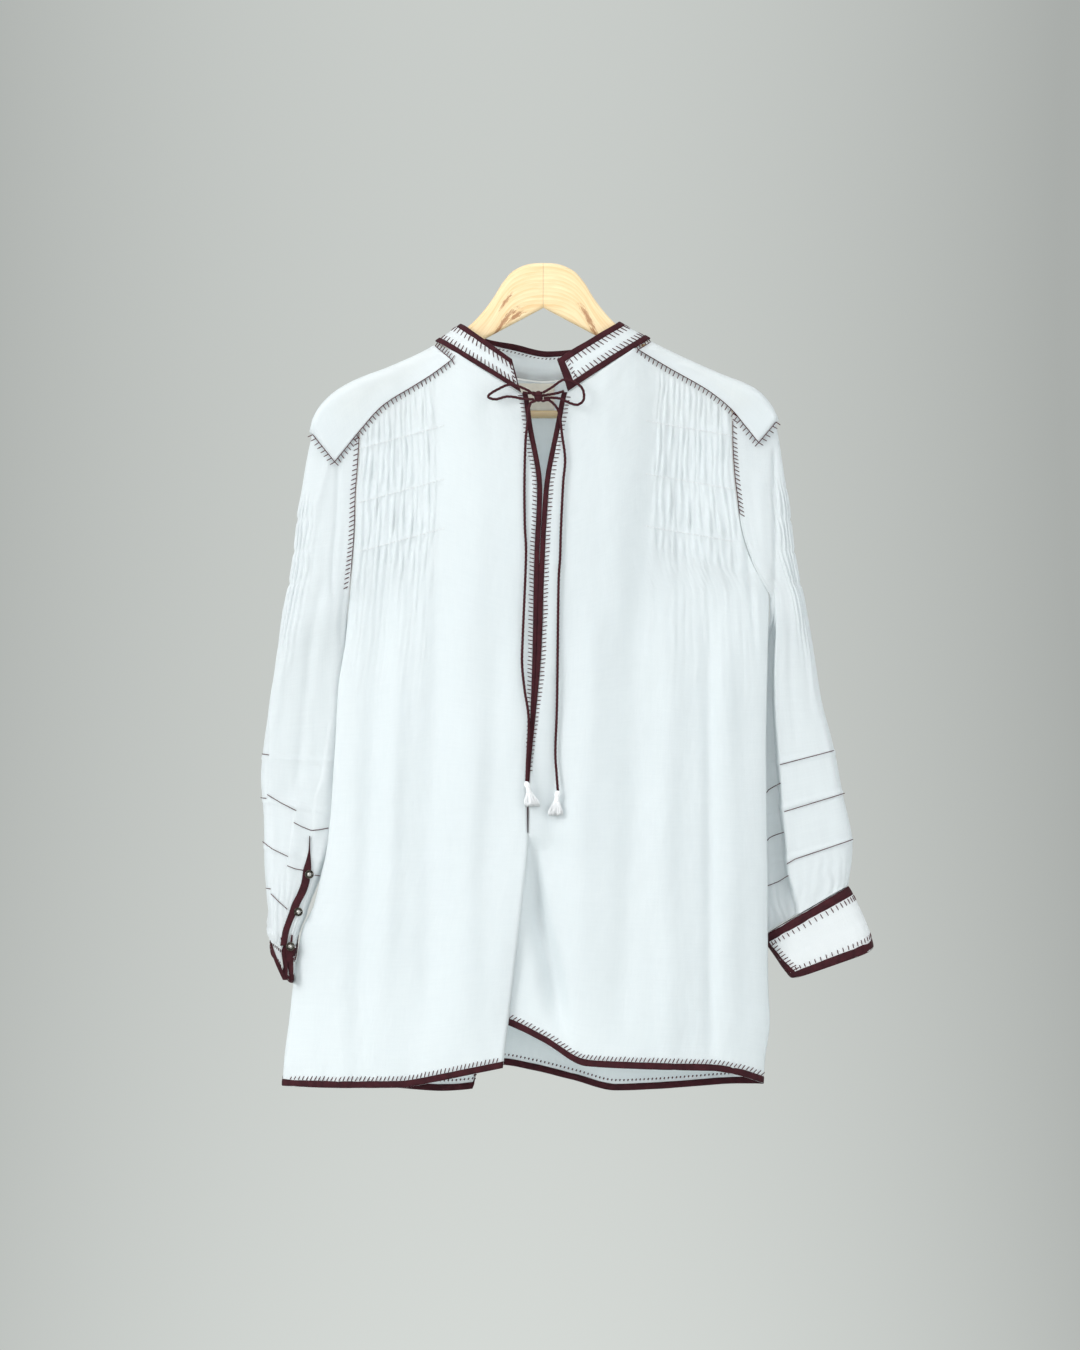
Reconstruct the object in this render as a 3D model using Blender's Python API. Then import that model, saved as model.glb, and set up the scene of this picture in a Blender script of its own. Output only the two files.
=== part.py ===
"""Cotton shirt with bound edges on a wooden hanger.

The origin is the top of the hanger, +Z up, and the front of the shirt faces -Y.
Sizes are millimetres until a mesh is made: x to the viewer's right, "down" below the
hanger's top. Each panel of cloth is a surface y(x, down) or a ring of sections, read from
short tables, and becomes a wall by Solidify.
"""

import math

import bpy
import numpy as np

MM = 0.001

WALL = 1.2
BINDING_WALL = 2.0
SEAM_GAP = 0.35
BINDING = 7.0
SLIT_BINDING = 5.0
HALF_WALL = WALL / 2

# Cloth over the hanger: radius of the fold along the shoulder, for the panels and for the
# straps that lie on them.
PANEL_ROUND = 7.0
STRAP_ROUND = 8.9
PANEL_UNDER_STRAP = 2.3

# The armhole is open above the first depth and has closed at the underarm.
ARMHOLE_CLOSES = 250.0
UNDERARM = 335.0
SIDE_POWER = 3.0
EDGE_HALF_DEPTH = 0.8
SEAM_EASE_LEFT = 2.4
SEAM_EASE_RIGHT = 5.0

SLIT_END = 569.0

ARM_HALF_THICKNESS = 6.0
ARM_CHAMFER = 4.0
ARM_TAPER = 1.4
BAR_DIAMETER = 8.0
BAR_DOWN = 151.4
BAR_HALF_LENGTH = 186.7
BAR_SEAT_DOWN = 158.0
SCREW_HOLE_DIAMETER = 4.0
SCREW_HOLE_DEPTH = 24.0

CORD_DIAMETER = 2.4
BUTTON_DIAMETER = 8.8
TASSEL_STRANDS = 16

WHITE = (0.83, 0.88, 0.90)
MAROON = (0.055, 0.012, 0.016)
PINE = (0.75, 0.52, 0.29)
SILVER = (0.62, 0.60, 0.55)
CREAM = (0.80, 0.74, 0.62)


def table(columns, *rows):
    """A short table: the names of its columns, then its rows."""
    return dict(zip(columns.split(), np.array(rows, dtype=float).T))


def read(rows, by, column, at):
    """A column at places between the rows, as a cubic that never overshoots them."""
    known, value = rows[by], rows[column]
    step = np.diff(known)
    rise = np.diff(value) / step
    slope = np.zeros_like(value)
    turning = rise[:-1] * rise[1:]
    same = turning > 0
    slope[1:-1][same] = 2 * turning[same] / (rise[:-1] + rise[1:])[same]
    slope[0], slope[-1] = rise[0], rise[-1]
    at = np.clip(np.asarray(at, dtype=float), known[0], known[-1])
    i = np.clip(np.searchsorted(known, at) - 1, 0, len(step) - 1)
    t = (at - known[i]) / step[i]
    return (
        value[i] * (1 + 2 * t) * (1 - t) ** 2
        + slope[i] * step[i] * t * (1 - t) ** 2
        + value[i + 1] * t * t * (3 - 2 * t)
        - slope[i + 1] * step[i] * t * t * (1 - t)
    )


def ramp(at, start, end):
    """0 before the start, 1 past the end, smooth between."""
    t = np.clip((np.asarray(at, dtype=float) - start) / (end - start), 0, 1)
    return t * t * (3 - 2 * t)


def mix(a, b, share):
    return a + (b - a) * share


# The shoulder line as seen from the front: top of the straps and the collar's sides.
SHOULDER = table(
    "x down",
    (-234.1, 170.7), (-232.1, 159.4), (-221.9, 141.0), (-203.5, 124.8), (-181.1, 113.5),
    (-156.5, 104.3), (-107.5, 81.0), (-82.3, 60.3), (74.9, 58.6), (106.7, 77.8),
    (172.0, 108.4), (210.8, 124.8), (227.1, 141.0), (235.3, 157.4),
)

# Edges of front and back: the armhole seam down to the underarm, then the side.
BODY = table(
    "down left right",
    (147, -183.0, 188.4), (178, -183.8, 188.6), (210, -185.8, 190.4), (231, -187.4, 192.8),
    (265, -188.4, 197.6), (300, -191.0, 209.0), (335, -194.5, 226.0), (379, -198.5, 225.0),
    (424, -205.5, 224.0), (477, -208.5, 223.0), (557, -213.8, 223.5), (589, -217.5, 224.0),
    (613, -223.0, 224.5), (644, -230.5, 224.5), (663, -240.5, 224.5), (682, -244.5, 224.5),
    (703, -248.0, 224.6), (727, -251.2, 225.0), (757, -254.5, 226.5), (797, -259.6, 221.5),
    (829, -261.5, 219.5),
)

# Cloth edges at the neck slit and, below its end, the line of the fold that grows there.
SLIT = table(
    "down left right",
    (128, -23.0, 24.4), (134, -20.5, 22.6), (160, -16.8, 17.6), (227, -6.4, 5.4),
    (297, -9.3, 1.2), (387, -11.0, -2.0), (454, -14.0, -6.5), (517, -18.0, -13.0),
    (569, -17.2, -13.2), (640, -22.0, -22.0), (700, -28.5, -28.5), (803, -40.5, -40.5),
)

# Lower edge of the front: left of the fold, then right of it.
HEM_LEFT = table(
    "x down",
    (-262, 822.4), (-205, 823.6), (-144, 823.0), (-104, 816.2), (-72, 809.5), (-40, 803.0),
)
HEM_RIGHT = table(
    "x down",
    (-44, 750.0), (-22, 761.5), (5, 778.0), (43, 801.2), (80, 803.6), (130, 805.6),
    (170, 807.0), (195, 811.5), (222, 820.6),
)
HEM_BACK = table(
    "x down",
    (-262, 819.0), (-205, 820.5), (-143, 826.5), (-100, 829.4), (-71, 827.4), (-66, 806.0),
    (-42, 803.6), (-12, 808.5), (30, 818.8), (73, 829.2), (110, 827.6), (149, 824.6),
    (195, 821.2), (222, 820.8),
)

# Upper edges of front and back: under the straps at the sides, at the neck seam inside.
FRONT_TOP = table(
    "x down",
    (-183.0, 161.0), (-160.6, 137.0), (-132.0, 118.8), (-113.0, 104.5), (-103.0, 83.4), (-87.5, 91.2),
    (-65.5, 104.8), (-43.5, 118.2), (-22.5, 131.4), (24.0, 130.2), (44.5, 116.6),
    (64.5, 103.6), (86.5, 89.6), (94.5, 84.4), (127.0, 100.4), (166.0, 122.8), (189.4, 144.0),
)
BACK_TOP = table(
    "x down",
    (-183.0, 123.0), (-165.0, 132.0), (-134.0, 119.0), (-92.0, 94.0), (-73.5, 97.0),
    (-43.5, 111.0), (-22.0, 116.6), (0.0, 119.0),
    (22.0, 116.6), (43.5, 111.0), (73.5, 97.0), (94.5, 86.5), (127.0, 102.0),
    (166.0, 122.0), (189.4, 131.0),
)

# Soft folds of front and back: where each runs, how deep (towards the viewer) and wide.
FRONT_FOLDS = table(
    "top_x bottom_x start end depth width",
    (-160, -186, 290, 790, -3.2, 13), (-141, -158, 300, 700, 2.6, 12),
    (-104, -118, 290, 760, -2.4, 12), (-66, -84, 420, 800, 2.2, 20),
    (-38, -64, 330, 640, -1.8, 12), (22, 8, 360, 600, -3.4, 12), (48, 30, 330, 740, 2.4, 16),
    (92, 84, 300, 760, -2.8, 15), (124, 122, 300, 800, 2.4, 14), (152, 158, 300, 720, -2.4, 12),
    (182, 192, 360, 800, 2.2, 12),
)
BACK_FOLDS = table(
    "top_x bottom_x start end depth width",
    (-150, -196, 240, 800, 3.0, 16), (-96, -120, 200, 760, -3.4, 15), (-52, -60, 180, 800, 3.6, 17),
    (-10, -4, 150, 720, -3.8, 14), (38, 48, 170, 800, 3.8, 18), (88, 104, 200, 780, -3.2, 15),
    (140, 168, 240, 800, 3.0, 16),
)

# The shirred panels of the front: shares of the half front's width, gathers and the
# depths of their rows of shirring.
LEFT_SHIRRING = dict(start=0.0, end=0.46, gathers=12)
RIGHT_SHIRRING = dict(start=0.55, end=1.0, gathers=12)
SHIRRING_END = 287.0
GATHER_HEIGHT = 1.2
GATHER_OUT = 0.7

# Section rows of a sleeve and its cuff, from the head (0) to the cuff seam (1) and the
# cuff's lower edge (2): inner and outer edge as seen from the front, then the depth of
# the middle, half of its thickness, and how far the front hangs below the back.
SLEEVE_LEFT = table(
    "along in_x in_down out_x out_down middle half dip",
    (0.00, -183.6, 167, -229.0, 165, 0, 8, 0), (0.07, -185.8, 200, -236.9, 199, 0, 8, 0),
    (0.13, -188.8, 231, -242.9, 239, 0, 9, 0), (0.21, -188.9, 272, -246.9, 279, 0, 10, 0),
    (0.29, -192.2, 310, -251.9, 319, 0, 11, 0), (0.34, -196.8, 336, -258.5, 349, 0, 12, 0),
    (0.43, -196.5, 379, -267.9, 399, 8, 12, 0), (0.52, -194.5, 424, -273.9, 439, 14, 13, 0),
    (0.62, -193.5, 477, -278.9, 479, 18, 13, 0), (0.72, -197.0, 530, -282.9, 519, 20, 15, 0),
    (0.81, -206.0, 575, -280.5, 559, 21, 20, 0), (0.89, -222.5, 612, -278.9, 599, 22, 29, 4),
    (0.95, -235.0, 640, -277.0, 624, 23, 34, 11), (1.00, -246.0, 666, -273.5, 648, 24, 37, 19),
    (2.00, -250.4, 706, -272.6, 683, 13, 37, 24),
)
SLEEVE_RIGHT = table(
    "along in_x in_down out_x out_down middle half dip",
    (0.00, 189.8, 157, 229.4, 152, 0, 8, 0), (0.05, 188.2, 178, 235.6, 180, 0, 8, 0),
    (0.12, 190.9, 210, 240.9, 217, 0, 9, 0), (0.17, 193.5, 236, 244.9, 249, 0, 9, 0),
    (0.23, 198.0, 265, 247.9, 277, 0, 10, 0), (0.30, 209.4, 300, 252.0, 308, 0, 11, 0),
    (0.36, 228.2, 336, 259.2, 337, 1, 12, 0), (0.44, 223.5, 378, 267.9, 377, 8, 12, 0),
    (0.55, 217.0, 437, 277.9, 437, 15, 13, 0), (0.67, 214.5, 500, 290.5, 487, 18, 14, 0),
    (0.78, 214.5, 557, 301.2, 535, 19, 15, 0), (0.88, 215.5, 607, 309.0, 580, 19, 15, 0),
    (0.95, 217.5, 642, 307.8, 605, 18, 14, 0), (1.00, 221.5, 671, 304.5, 622.5, 16, 12, 0),
    (2.00, 245.5, 713, 329.3, 684.6, 14, 13, 4),
)
# Where the right sleeve's front layer ends at a fold, as a share across the sleeve.
RIGHT_STEP = table(
    "along across amount", (0.36, 0.12, 0.0), (0.46, 0.20, 1.0), (0.67, 0.28, 1.0),
    (0.90, 0.31, 1.0), (1.0, 0.42, 0.7), (1.3, 0.42, 0.0),
)

# Straps: where each cut across it meets the shoulder line, and its front and back edges.
STRAP_LEFT = table(
    "along top_x front_x front_down back_x back_down",
    (0.0, -109.0, -91.5, 97.8, -93.5, 97.2), (0.22, -130.0, -112.0, 112.5, -118.0, 113.5),
    (0.44, -152.0, -132.0, 124.8, -140.0, 127.0), (0.62, -172.0, -160.6, 143.0, -163.0, 132.0),
    (0.76, -192.0, -183.1, 167.6, -189.0, 131.0), (0.88, -212.0, -196.0, 183.6, -210.0, 144.0),
    (1.0, -233.6, -208.6, 199.2, -232.0, 176.0),
)
STRAP_RIGHT = table(
    "along top_x front_x front_down back_x back_down",
    (0.0, 107.6, 94.5, 87.4, 94.5, 88.0), (0.22, 126.0, 110.0, 96.4, 110.0, 97.0),
    (0.44, 148.0, 127.1, 106.4, 130.0, 107.0), (0.62, 170.0, 165.9, 128.8, 160.0, 124.0),
    (0.76, 194.0, 188.3, 147.2, 190.0, 138.0), (0.88, 214.0, 200.0, 161.5, 212.0, 150.0),
    (1.0, 234.6, 214.9, 179.9, 230.0, 170.0),
)

# Collar rings from the left end round the back to the right end: neck seam and top edge.
# Depth is how far each point stands from the hanger's middle plane.
COLLAR = table(
    "around neck_x neck_down neck_y top_x top_down top_y",
    (0.00, -22.5, 130.8, -30.0, -31.6, 97.0, -27.0), (0.07, -43.5, 117.6, -30.0, -46.5, 86.3, -27.0),
    (0.14, -65.5, 104.2, -27.0, -58.5, 77.5, -23.0), (0.21, -87.5, 90.6, -18.0, -70.5, 68.8, -15.0),
    (0.255, -102.5, 81.8, -8.0, -79.0, 62.6, -7.0), (0.28, -107.4, 79.4, 0.0, -82.3, 60.9, 0.0),
    (0.305, -100.0, 84.0, 9.0, -77.5, 64.4, 8.0), (0.37, -73.5, 95.4, 21.0, -53.7, 76.0, 20.0),
    (0.44, -43.5, 109.4, 26.0, -29.2, 80.2, 24.0), (0.52, 0.0, 116.9, 28.0, 4.0, 87.2, 26.0),
    (0.60, 43.5, 109.4, 26.0, 36.0, 84.6, 24.0), (0.67, 73.5, 95.4, 21.0, 57.0, 73.5, 16.0),
    (0.71, 98.0, 81.6, 9.0, 71.0, 61.8, 7.0), (0.73, 106.2, 76.8, 0.0, 75.0, 59.2, 0.0),
    (0.76, 101.5, 79.8, -8.0, 71.5, 61.6, -7.0), (0.82, 86.5, 89.0, -18.0, 59.5, 68.6, -15.0),
    (0.88, 64.5, 103.0, -27.0, 43.5, 78.6, -23.0), (0.94, 44.5, 116.0, -30.0, 27.5, 88.0, -27.0),
    (1.00, 24.4, 129.4, -30.0, 13.4, 97.6, -27.0),
)
NECK_BINDING_SHARE = 0.19
TOP_BINDING_SHARE = 0.20


def shoulder(x):
    return read(SHOULDER, "x", "down", x)


def fullness(x, down):
    """How much further than the hanger the cloth stands out: at the neck, and down."""
    neck = 23 * ramp(140 - np.abs(x), 0, 80) * (1 - 0.75 * ramp(down, 130, 560))
    return neck + 26 * ramp(down, 130, 830)


def depth_from_shoulder(x, down, under, radius):
    """Half the depth at a point: a round fold at the shoulder line, then the fullness."""
    below = np.clip(down - shoulder(x) - under, 0, None)
    fold = radius * np.sqrt(1 - (1 - np.clip(below / radius, 0, 1)) ** 2)
    return fold + fullness(x, down) * ramp(below, 0, 30)


def openness(down):
    """1 where the armhole is open, 0 from the underarm down."""
    return np.sqrt(1 - np.clip((down - ARMHOLE_CLOSES) / (UNDERARM - ARMHOLE_CLOSES), 0, 1) ** 2)


def side_profile(x, down):
    """1 over most of the width, falling at the side seams, where front and back meet."""
    left = read(BODY, "down", "left", down)
    right = read(BODY, "down", "right", down)
    across = np.clip(np.abs(2 * (x - left) / (right - left) - 1), 0, 1)
    return np.sqrt(1 - (1 - openness(down) ** 2) * across**SIDE_POWER)


def body_middle(down):
    return -4.0 * ramp(down, UNDERARM, 760)


def folds(rows, x, down):
    """The sum of the soft folds at a point."""
    total = np.zeros(np.broadcast(x, down).shape)
    for top_x, bottom_x, start, end, depth, width in zip(*rows.values()):
        line = mix(top_x, bottom_x, (down - start) / (end - start))
        length = ramp(down, start - 20, start + 90) * (1 - ramp(down, end - 60, end + 40))
        total += depth * length * np.exp(-(((x - line) / width) ** 2))
    return total


def front_y(x, down):
    half = depth_from_shoulder(x, down, PANEL_UNDER_STRAP, PANEL_ROUND)
    out = np.maximum(half * side_profile(x, down), EDGE_HALF_DEPTH)
    side = ramp(side_profile(x, down), 0.2, 0.8)
    return body_middle(down) - out - folds(FRONT_FOLDS, x, down) * side


def back_y(x, down):
    half = depth_from_shoulder(x, down, PANEL_UNDER_STRAP, PANEL_ROUND) * 0.95
    out = np.maximum(half * side_profile(x, down), EDGE_HALF_DEPTH)
    side = ramp(side_profile(x, down), 0.2, 0.8)
    return body_middle(down) + out + folds(BACK_FOLDS, x, down) * side


def gathers(share, down, shirring):
    """Zigzag of a shirred panel, held flat at its rows and let go below the last one."""
    inside = (share - shirring["start"]) / (shirring["end"] - shirring["start"])
    wave = np.cos(math.pi * np.round(inside * 2 * shirring["gathers"]))
    edge = ramp(inside, -0.01, 0.06) * (1 - ramp(inside, 0.94, 1.01))
    let_go = 1 - 0.55 * ramp(down, SHIRRING_END, 400) - 0.45 * ramp(down, 400, 640)
    return GATHER_HEIGHT * (wave + GATHER_OUT) * edge * let_go


def material(name, colour, roughness=0.9, metallic=0.0):
    made = bpy.data.materials.new(name)
    made.use_nodes = True
    shader = made.node_tree.nodes["Principled BSDF"]
    shader.inputs["Base Color"].default_value = (*colour, 1)
    shader.inputs["Roughness"].default_value = roughness
    shader.inputs["Metallic"].default_value = metallic
    return made


def add_mesh(name, points, faces, surface, smooth=True):
    """An object from points in millimetres (x, y, down)."""
    points = np.asarray(points, dtype=float).reshape(-1, 3)
    used = np.unique([i for face in faces for i in face])
    place = {old: new for new, old in enumerate(used)}
    mesh = bpy.data.meshes.new(name)
    mesh.from_pydata(
        (points[used] * (MM, MM, -MM)).tolist(), [], [[place[i] for i in face] for face in faces]
    )
    if smooth:
        mesh.shade_smooth()
    mesh.materials.append(surface)
    made = bpy.data.objects.new(name, mesh)
    bpy.context.collection.objects.link(made)
    return made


def cloth(name, grid, surface, wall=WALL, left_out=None, joined_from=None, ring=False):
    """A cloth wall through a grid of points, [row, column, (x, y, down)].

    left_out marks quads that aren't cloth; from the row joined_from down, the last column
    is the first one again, and so it is on every row of a ring.
    """
    rows, columns = grid.shape[:2]
    index = np.arange(rows * columns).reshape(rows, columns)
    if ring:
        joined_from = 0
    if joined_from is not None:
        index[joined_from:, -1] = index[joined_from:, 0]
    faces = [
        (index[r, c], index[r + 1, c], index[r + 1, c + 1], index[r, c + 1])
        for r in range(rows - 1)
        for c in range(columns - 1)
        if left_out is None or not left_out[r, c]
    ]
    made = add_mesh(name, grid, faces, surface)
    wall_of_cloth = made.modifiers.new("wall", "SOLIDIFY")
    wall_of_cloth.thickness = wall * MM
    wall_of_cloth.offset = 0
    return made


def points(x, y, down):
    return np.stack(np.broadcast_arrays(x, y, down), axis=-1)


# Front

FRONT_ROWS = (0, 0.05, 0.12, 0.20, 0.28, 0.36, 0.45, 0.57, 0.70, 0.85, 1.0)
FRONT_LOWER_ROWS = (1.18, 1.45, 1.72, 2.0)
FOLD_COLUMNS = 5


def half_front_shares(shirring, plain_columns):
    """Shares across a half front: two columns for each gather, few for plain cloth."""
    count = 2 * shirring["gathers"]
    shirred = np.linspace(shirring["start"], shirring["end"], count + 1)
    if shirring["start"] == 0:
        plain = np.linspace(shirring["end"], 1, plain_columns + 1)[1:]
        return np.concatenate([[0, 0.006], shirred[1:], plain])
    plain = np.linspace(0, shirring["start"], plain_columns + 1)[:-1]
    return np.concatenate([plain, shirred[:-1], [0.994, 1.0]])


def body_left(down):
    return read(BODY, "down", "left", down) + HALF_WALL


def body_right(down):
    return read(BODY, "down", "right", down) - HALF_WALL


def slit_left(down):
    return read(SLIT, "down", "left", down)


def slit_right(down):
    return read(SLIT, "down", "right", down)


def half_front_grid(shares, shirring, edges, top, hem, rows):
    """Points of a half front: rows are shares of the way from its top to the slit's end
    (0 to 1) and on to its hem (1 to 2)."""
    grid = []
    for row in rows:
        x = mix(edges[0](150.0), edges[1](150.0), shares)
        for _ in range(8):
            start, end = top(x), hem(x)
            if row <= 1:
                down = mix(start, np.full_like(x, SLIT_END), row)
            else:
                down = mix(np.full_like(x, SLIT_END), end, row - 1)
            x = mix(edges[0](down), edges[1](down), shares)
        puff = gathers(shares, down, shirring) * ramp(down - top(x), 13, 24)
        grid.append(points(x, front_y(x, down) - puff, down))
    return np.array(grid)


def front_top(x):
    return read_straight(FRONT_TOP, x)


def read_straight(rows, x):
    return np.interp(x, rows["x"], rows["down"])


def hem_left(x):
    return read(HEM_LEFT, "x", "down", x)


def hem_right(x):
    return read(HEM_RIGHT, "x", "down", x)


FOLD_STEP = 10.0
FOLD_OVERLAP = 17.0


def front_parts(rows):
    """The front's two halves and the fold between them below the slit, row by row."""
    left_shares = half_front_shares(LEFT_SHIRRING, 7)
    right_shares = half_front_shares(RIGHT_SHIRRING, 8)
    left = half_front_grid(
        left_shares, LEFT_SHIRRING, (body_left, slit_left), front_top, hem_left, rows
    )
    right = half_front_grid(
        right_shares, RIGHT_SHIRRING, (slit_right, body_right), front_top, hem_right, rows
    )
    fold = np.zeros((len(rows), FOLD_COLUMNS, 3))
    for r, row in enumerate(rows):
        grown = max(0.0, row - 1)
        step = FOLD_STEP * float(ramp(grown, 0, 0.18))
        overlap = FOLD_OVERLAP * float(ramp(grown, 0.14, 1.0))
        edge = left[r, -1].copy()
        right[r, :, 0] -= overlap * np.exp(-right_shares / 0.12) * (row > 1)
        right[r, :, 1] += step * (1 - ramp(right_shares, 0.04, 0.35))
        start = right[r, 0].copy()
        across = np.array([0.15, 0.3, 0.5, 0.72, 0.88])
        fold[r] = mix(edge, start, across[:, None])
        fold[r, :, 1] = edge[1] + step * np.array([0.3, 0.45, 0.52, 0.6, 0.8])
        loop = np.array([0.6, 0.2, 0.0, -0.2, -1.6]) * float(ramp(step, 3, 6))
        fold[r, :, 0] += loop * (overlap > 1)
    return left, fold, right


def make_front(white, maroon):
    rows = [*FRONT_ROWS, *FRONT_LOWER_ROWS]
    left, fold, right = front_parts(rows)
    slit_row = len(FRONT_ROWS) - 1
    grid = np.concatenate([left, fold, right], axis=1)
    hem_binding = hem_strip(grid[-1], grid[-2])
    grid[-1] = hem_binding[0] - seam_step(grid[-1], grid[-2])
    kept = np.ones(grid.shape[1], dtype=bool)
    kept[2 : 2 * LEFT_SHIRRING["gathers"] : 2] = False
    kept[-2 * RIGHT_SHIRRING["gathers"] : -2 : 2] = False
    first = left.shape[1] - 1
    left_hem = hem_binding[:, : first + 1][:, kept[: first + 1]]
    right_hem = hem_binding[:, first + 1 + FOLD_COLUMNS :][:, kept[first + 1 + FOLD_COLUMNS :]]
    right_hem[:, 0, 0] += 2 * SEAM_GAP
    left_out = np.zeros((len(rows) - 1, grid.shape[1] - 1), dtype=bool)
    left_out[:slit_row, first : first + FOLD_COLUMNS + 1] = True
    cloth("front", grid, white, left_out=left_out)
    cloth("front_hem_binding_left", left_hem, maroon, wall=1.6)
    cloth("front_hem_binding_right", right_hem, maroon, wall=1.6)
    make_slit_bindings(left[: slit_row + 1, -1], right[: slit_row + 1, 0], maroon)


def seam_step(edge, before):
    along = edge - before
    return along / np.linalg.norm(along, axis=-1, keepdims=True) * SEAM_GAP


def hem_strip(edge, before):
    """Two rows of points for a binding: its upper edge inside the cloth's edge, and the edge."""
    along = edge - before
    step = along / np.linalg.norm(along, axis=-1, keepdims=True)
    return np.array([edge - step * BINDING, edge])


# Back


def back_grid(shares, rows):
    grid = []
    for row in rows:
        x = mix(body_left(150.0), body_right(150.0), shares)
        for _ in range(6):
            top = read_straight(BACK_TOP, x)
            down = mix(top, read(HEM_BACK, "x", "down", x), row)
            x = mix(body_left(down), body_right(down), shares)
        grid.append(points(x, back_y(x, down), down))
    return np.array(grid)


def make_back(white, maroon):
    plain = np.concatenate([np.linspace(0.07, 0.36, 7), [0.393, 0.402], np.linspace(0.45, 0.93, 10)])
    shares = np.concatenate([[0, 0.006, 0.03], plain, [0.97, 0.994, 1]])
    rows = [0, 0.06, 0.13, 0.20, 0.27, 0.34, 0.43, 0.54, 0.66, 0.78, 0.90, 1.0]
    grid = back_grid(shares, rows)
    strip = hem_strip(grid[-1], grid[-2])
    grid[-1] = strip[0] - seam_step(grid[-1], grid[-2])
    cloth("back", grid, white)
    cloth("back_hem_binding", strip, maroon, wall=BINDING_WALL)


# Slit bindings


def make_slit_bindings(left_edge, right_edge, maroon):
    """A strip along each edge of the slit, from the edge's own points: open in the V at the
    neck, then meeting the other strip down to the slit's end."""
    apart = (right_edge[:, 0] - left_edge[:, 0]) / 2
    in_the_v = np.minimum(SLIT_BINDING, apart - SEAM_GAP)
    width = np.maximum(in_the_v, 1.6)
    for name, edge, way in (("left", left_edge, 1), ("right", right_edge, -1)):
        outer, inner = edge.copy(), edge.copy()
        outer[:, 0] += way * SEAM_GAP
        inner[:, 0] += way * (width - SEAM_GAP / 2)
        outer[-1, 2] -= SEAM_GAP * 4
        inner[-1, 2] -= SEAM_GAP * 4
        outer[0, 2] += SEAM_GAP
        inner[0, 2] += SEAM_GAP
        cloth(f"slit_binding_{name}", np.array([outer, inner]), maroon, wall=1.6)


# Collar


def collar_point(around, up):
    neck = np.stack([read(COLLAR, "around", c, around) for c in ("neck_x", "neck_y", "neck_down")], -1)
    top = np.stack([read(COLLAR, "around", c, around) for c in ("top_x", "top_y", "top_down")], -1)
    return mix(neck, top, np.asarray(up, dtype=float)[..., None])


def collar_grid(around, ups):
    return np.array([collar_point(around, np.full_like(around, up)) for up in ups])


COLLAR_HEIGHT = 31.0
COLLAR_ENDS = 0.016


def make_collar(white, maroon):
    gap = SEAM_GAP / COLLAR_HEIGHT
    top = 1 - TOP_BINDING_SHARE
    known = COLLAR["around"]
    stations = np.unique(np.concatenate([known, (known[1:] + known[:-1])[[1, 7, 8, 9, 10, 11, 16]] / 2]))
    inside = stations[(stations > COLLAR_ENDS) & (stations < 1 - COLLAR_ENDS)]
    inside = np.concatenate([[COLLAR_ENDS + 0.002], inside, [1 - COLLAR_ENDS - 0.002]])
    cloth("collar", collar_grid(inside, (NECK_BINDING_SHARE, 0.5, top)), white)
    cloth("neck_binding", collar_grid(stations, (gap, NECK_BINDING_SHARE - gap)), maroon, BINDING_WALL)
    cloth("collar_top_binding", collar_grid(stations, (top + gap, 1.0)), maroon, BINDING_WALL)
    ends = {"left": (0.0, COLLAR_ENDS - 0.002), "right": (1 - COLLAR_ENDS + 0.002, 1.0)}
    for name, (start, end) in ends.items():
        ups = np.linspace(NECK_BINDING_SHARE + gap, top - gap, 3)
        strip = collar_grid(np.array([start, end]), ups)
        cloth(f"collar_end_binding_{name}", strip, maroon, wall=1.6)


# Straps


def strap_grid(rows, stations, legs):
    """A strap's cuts across: down its front leg, over the shoulder line, down the back."""
    top_x = read(rows, "along", "top_x", stations)
    top = np.stack([top_x, shoulder(top_x) + HALF_WALL], -1)
    grid = []
    for side, share in legs:
        edge = "front" if side < 0 else "back"
        low_x = read(rows, "along", f"{edge}_x", stations)
        low_down = read(rows, "along", f"{edge}_down", stations)
        at = mix(top, np.stack([low_x, low_down], -1), share)
        half = depth_from_shoulder(at[:, 0], at[:, 1], HALF_WALL, STRAP_ROUND)
        grid.append(points(at[:, 0], side * half, at[:, 1]))
    return np.array(grid)


STRAP_LEGS = (
    (-1, 1.0), (-1, 0.75), (-1, 0.5), (-1, 0.3), (-1, 0.16), (-1, 0.07), (-1, 0.02), (1, 0.0),
    (1, 0.05), (1, 0.14), (1, 0.3), (1, 0.6), (1, 1.0),
)


def make_straps(white):
    stations = np.linspace(0, 1, 10)
    for name, rows in (("left", STRAP_LEFT), ("right", STRAP_RIGHT)):
        cloth(f"strap_{name}", strap_grid(rows, stations, STRAP_LEGS), white)


# Sleeves and cuffs


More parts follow.
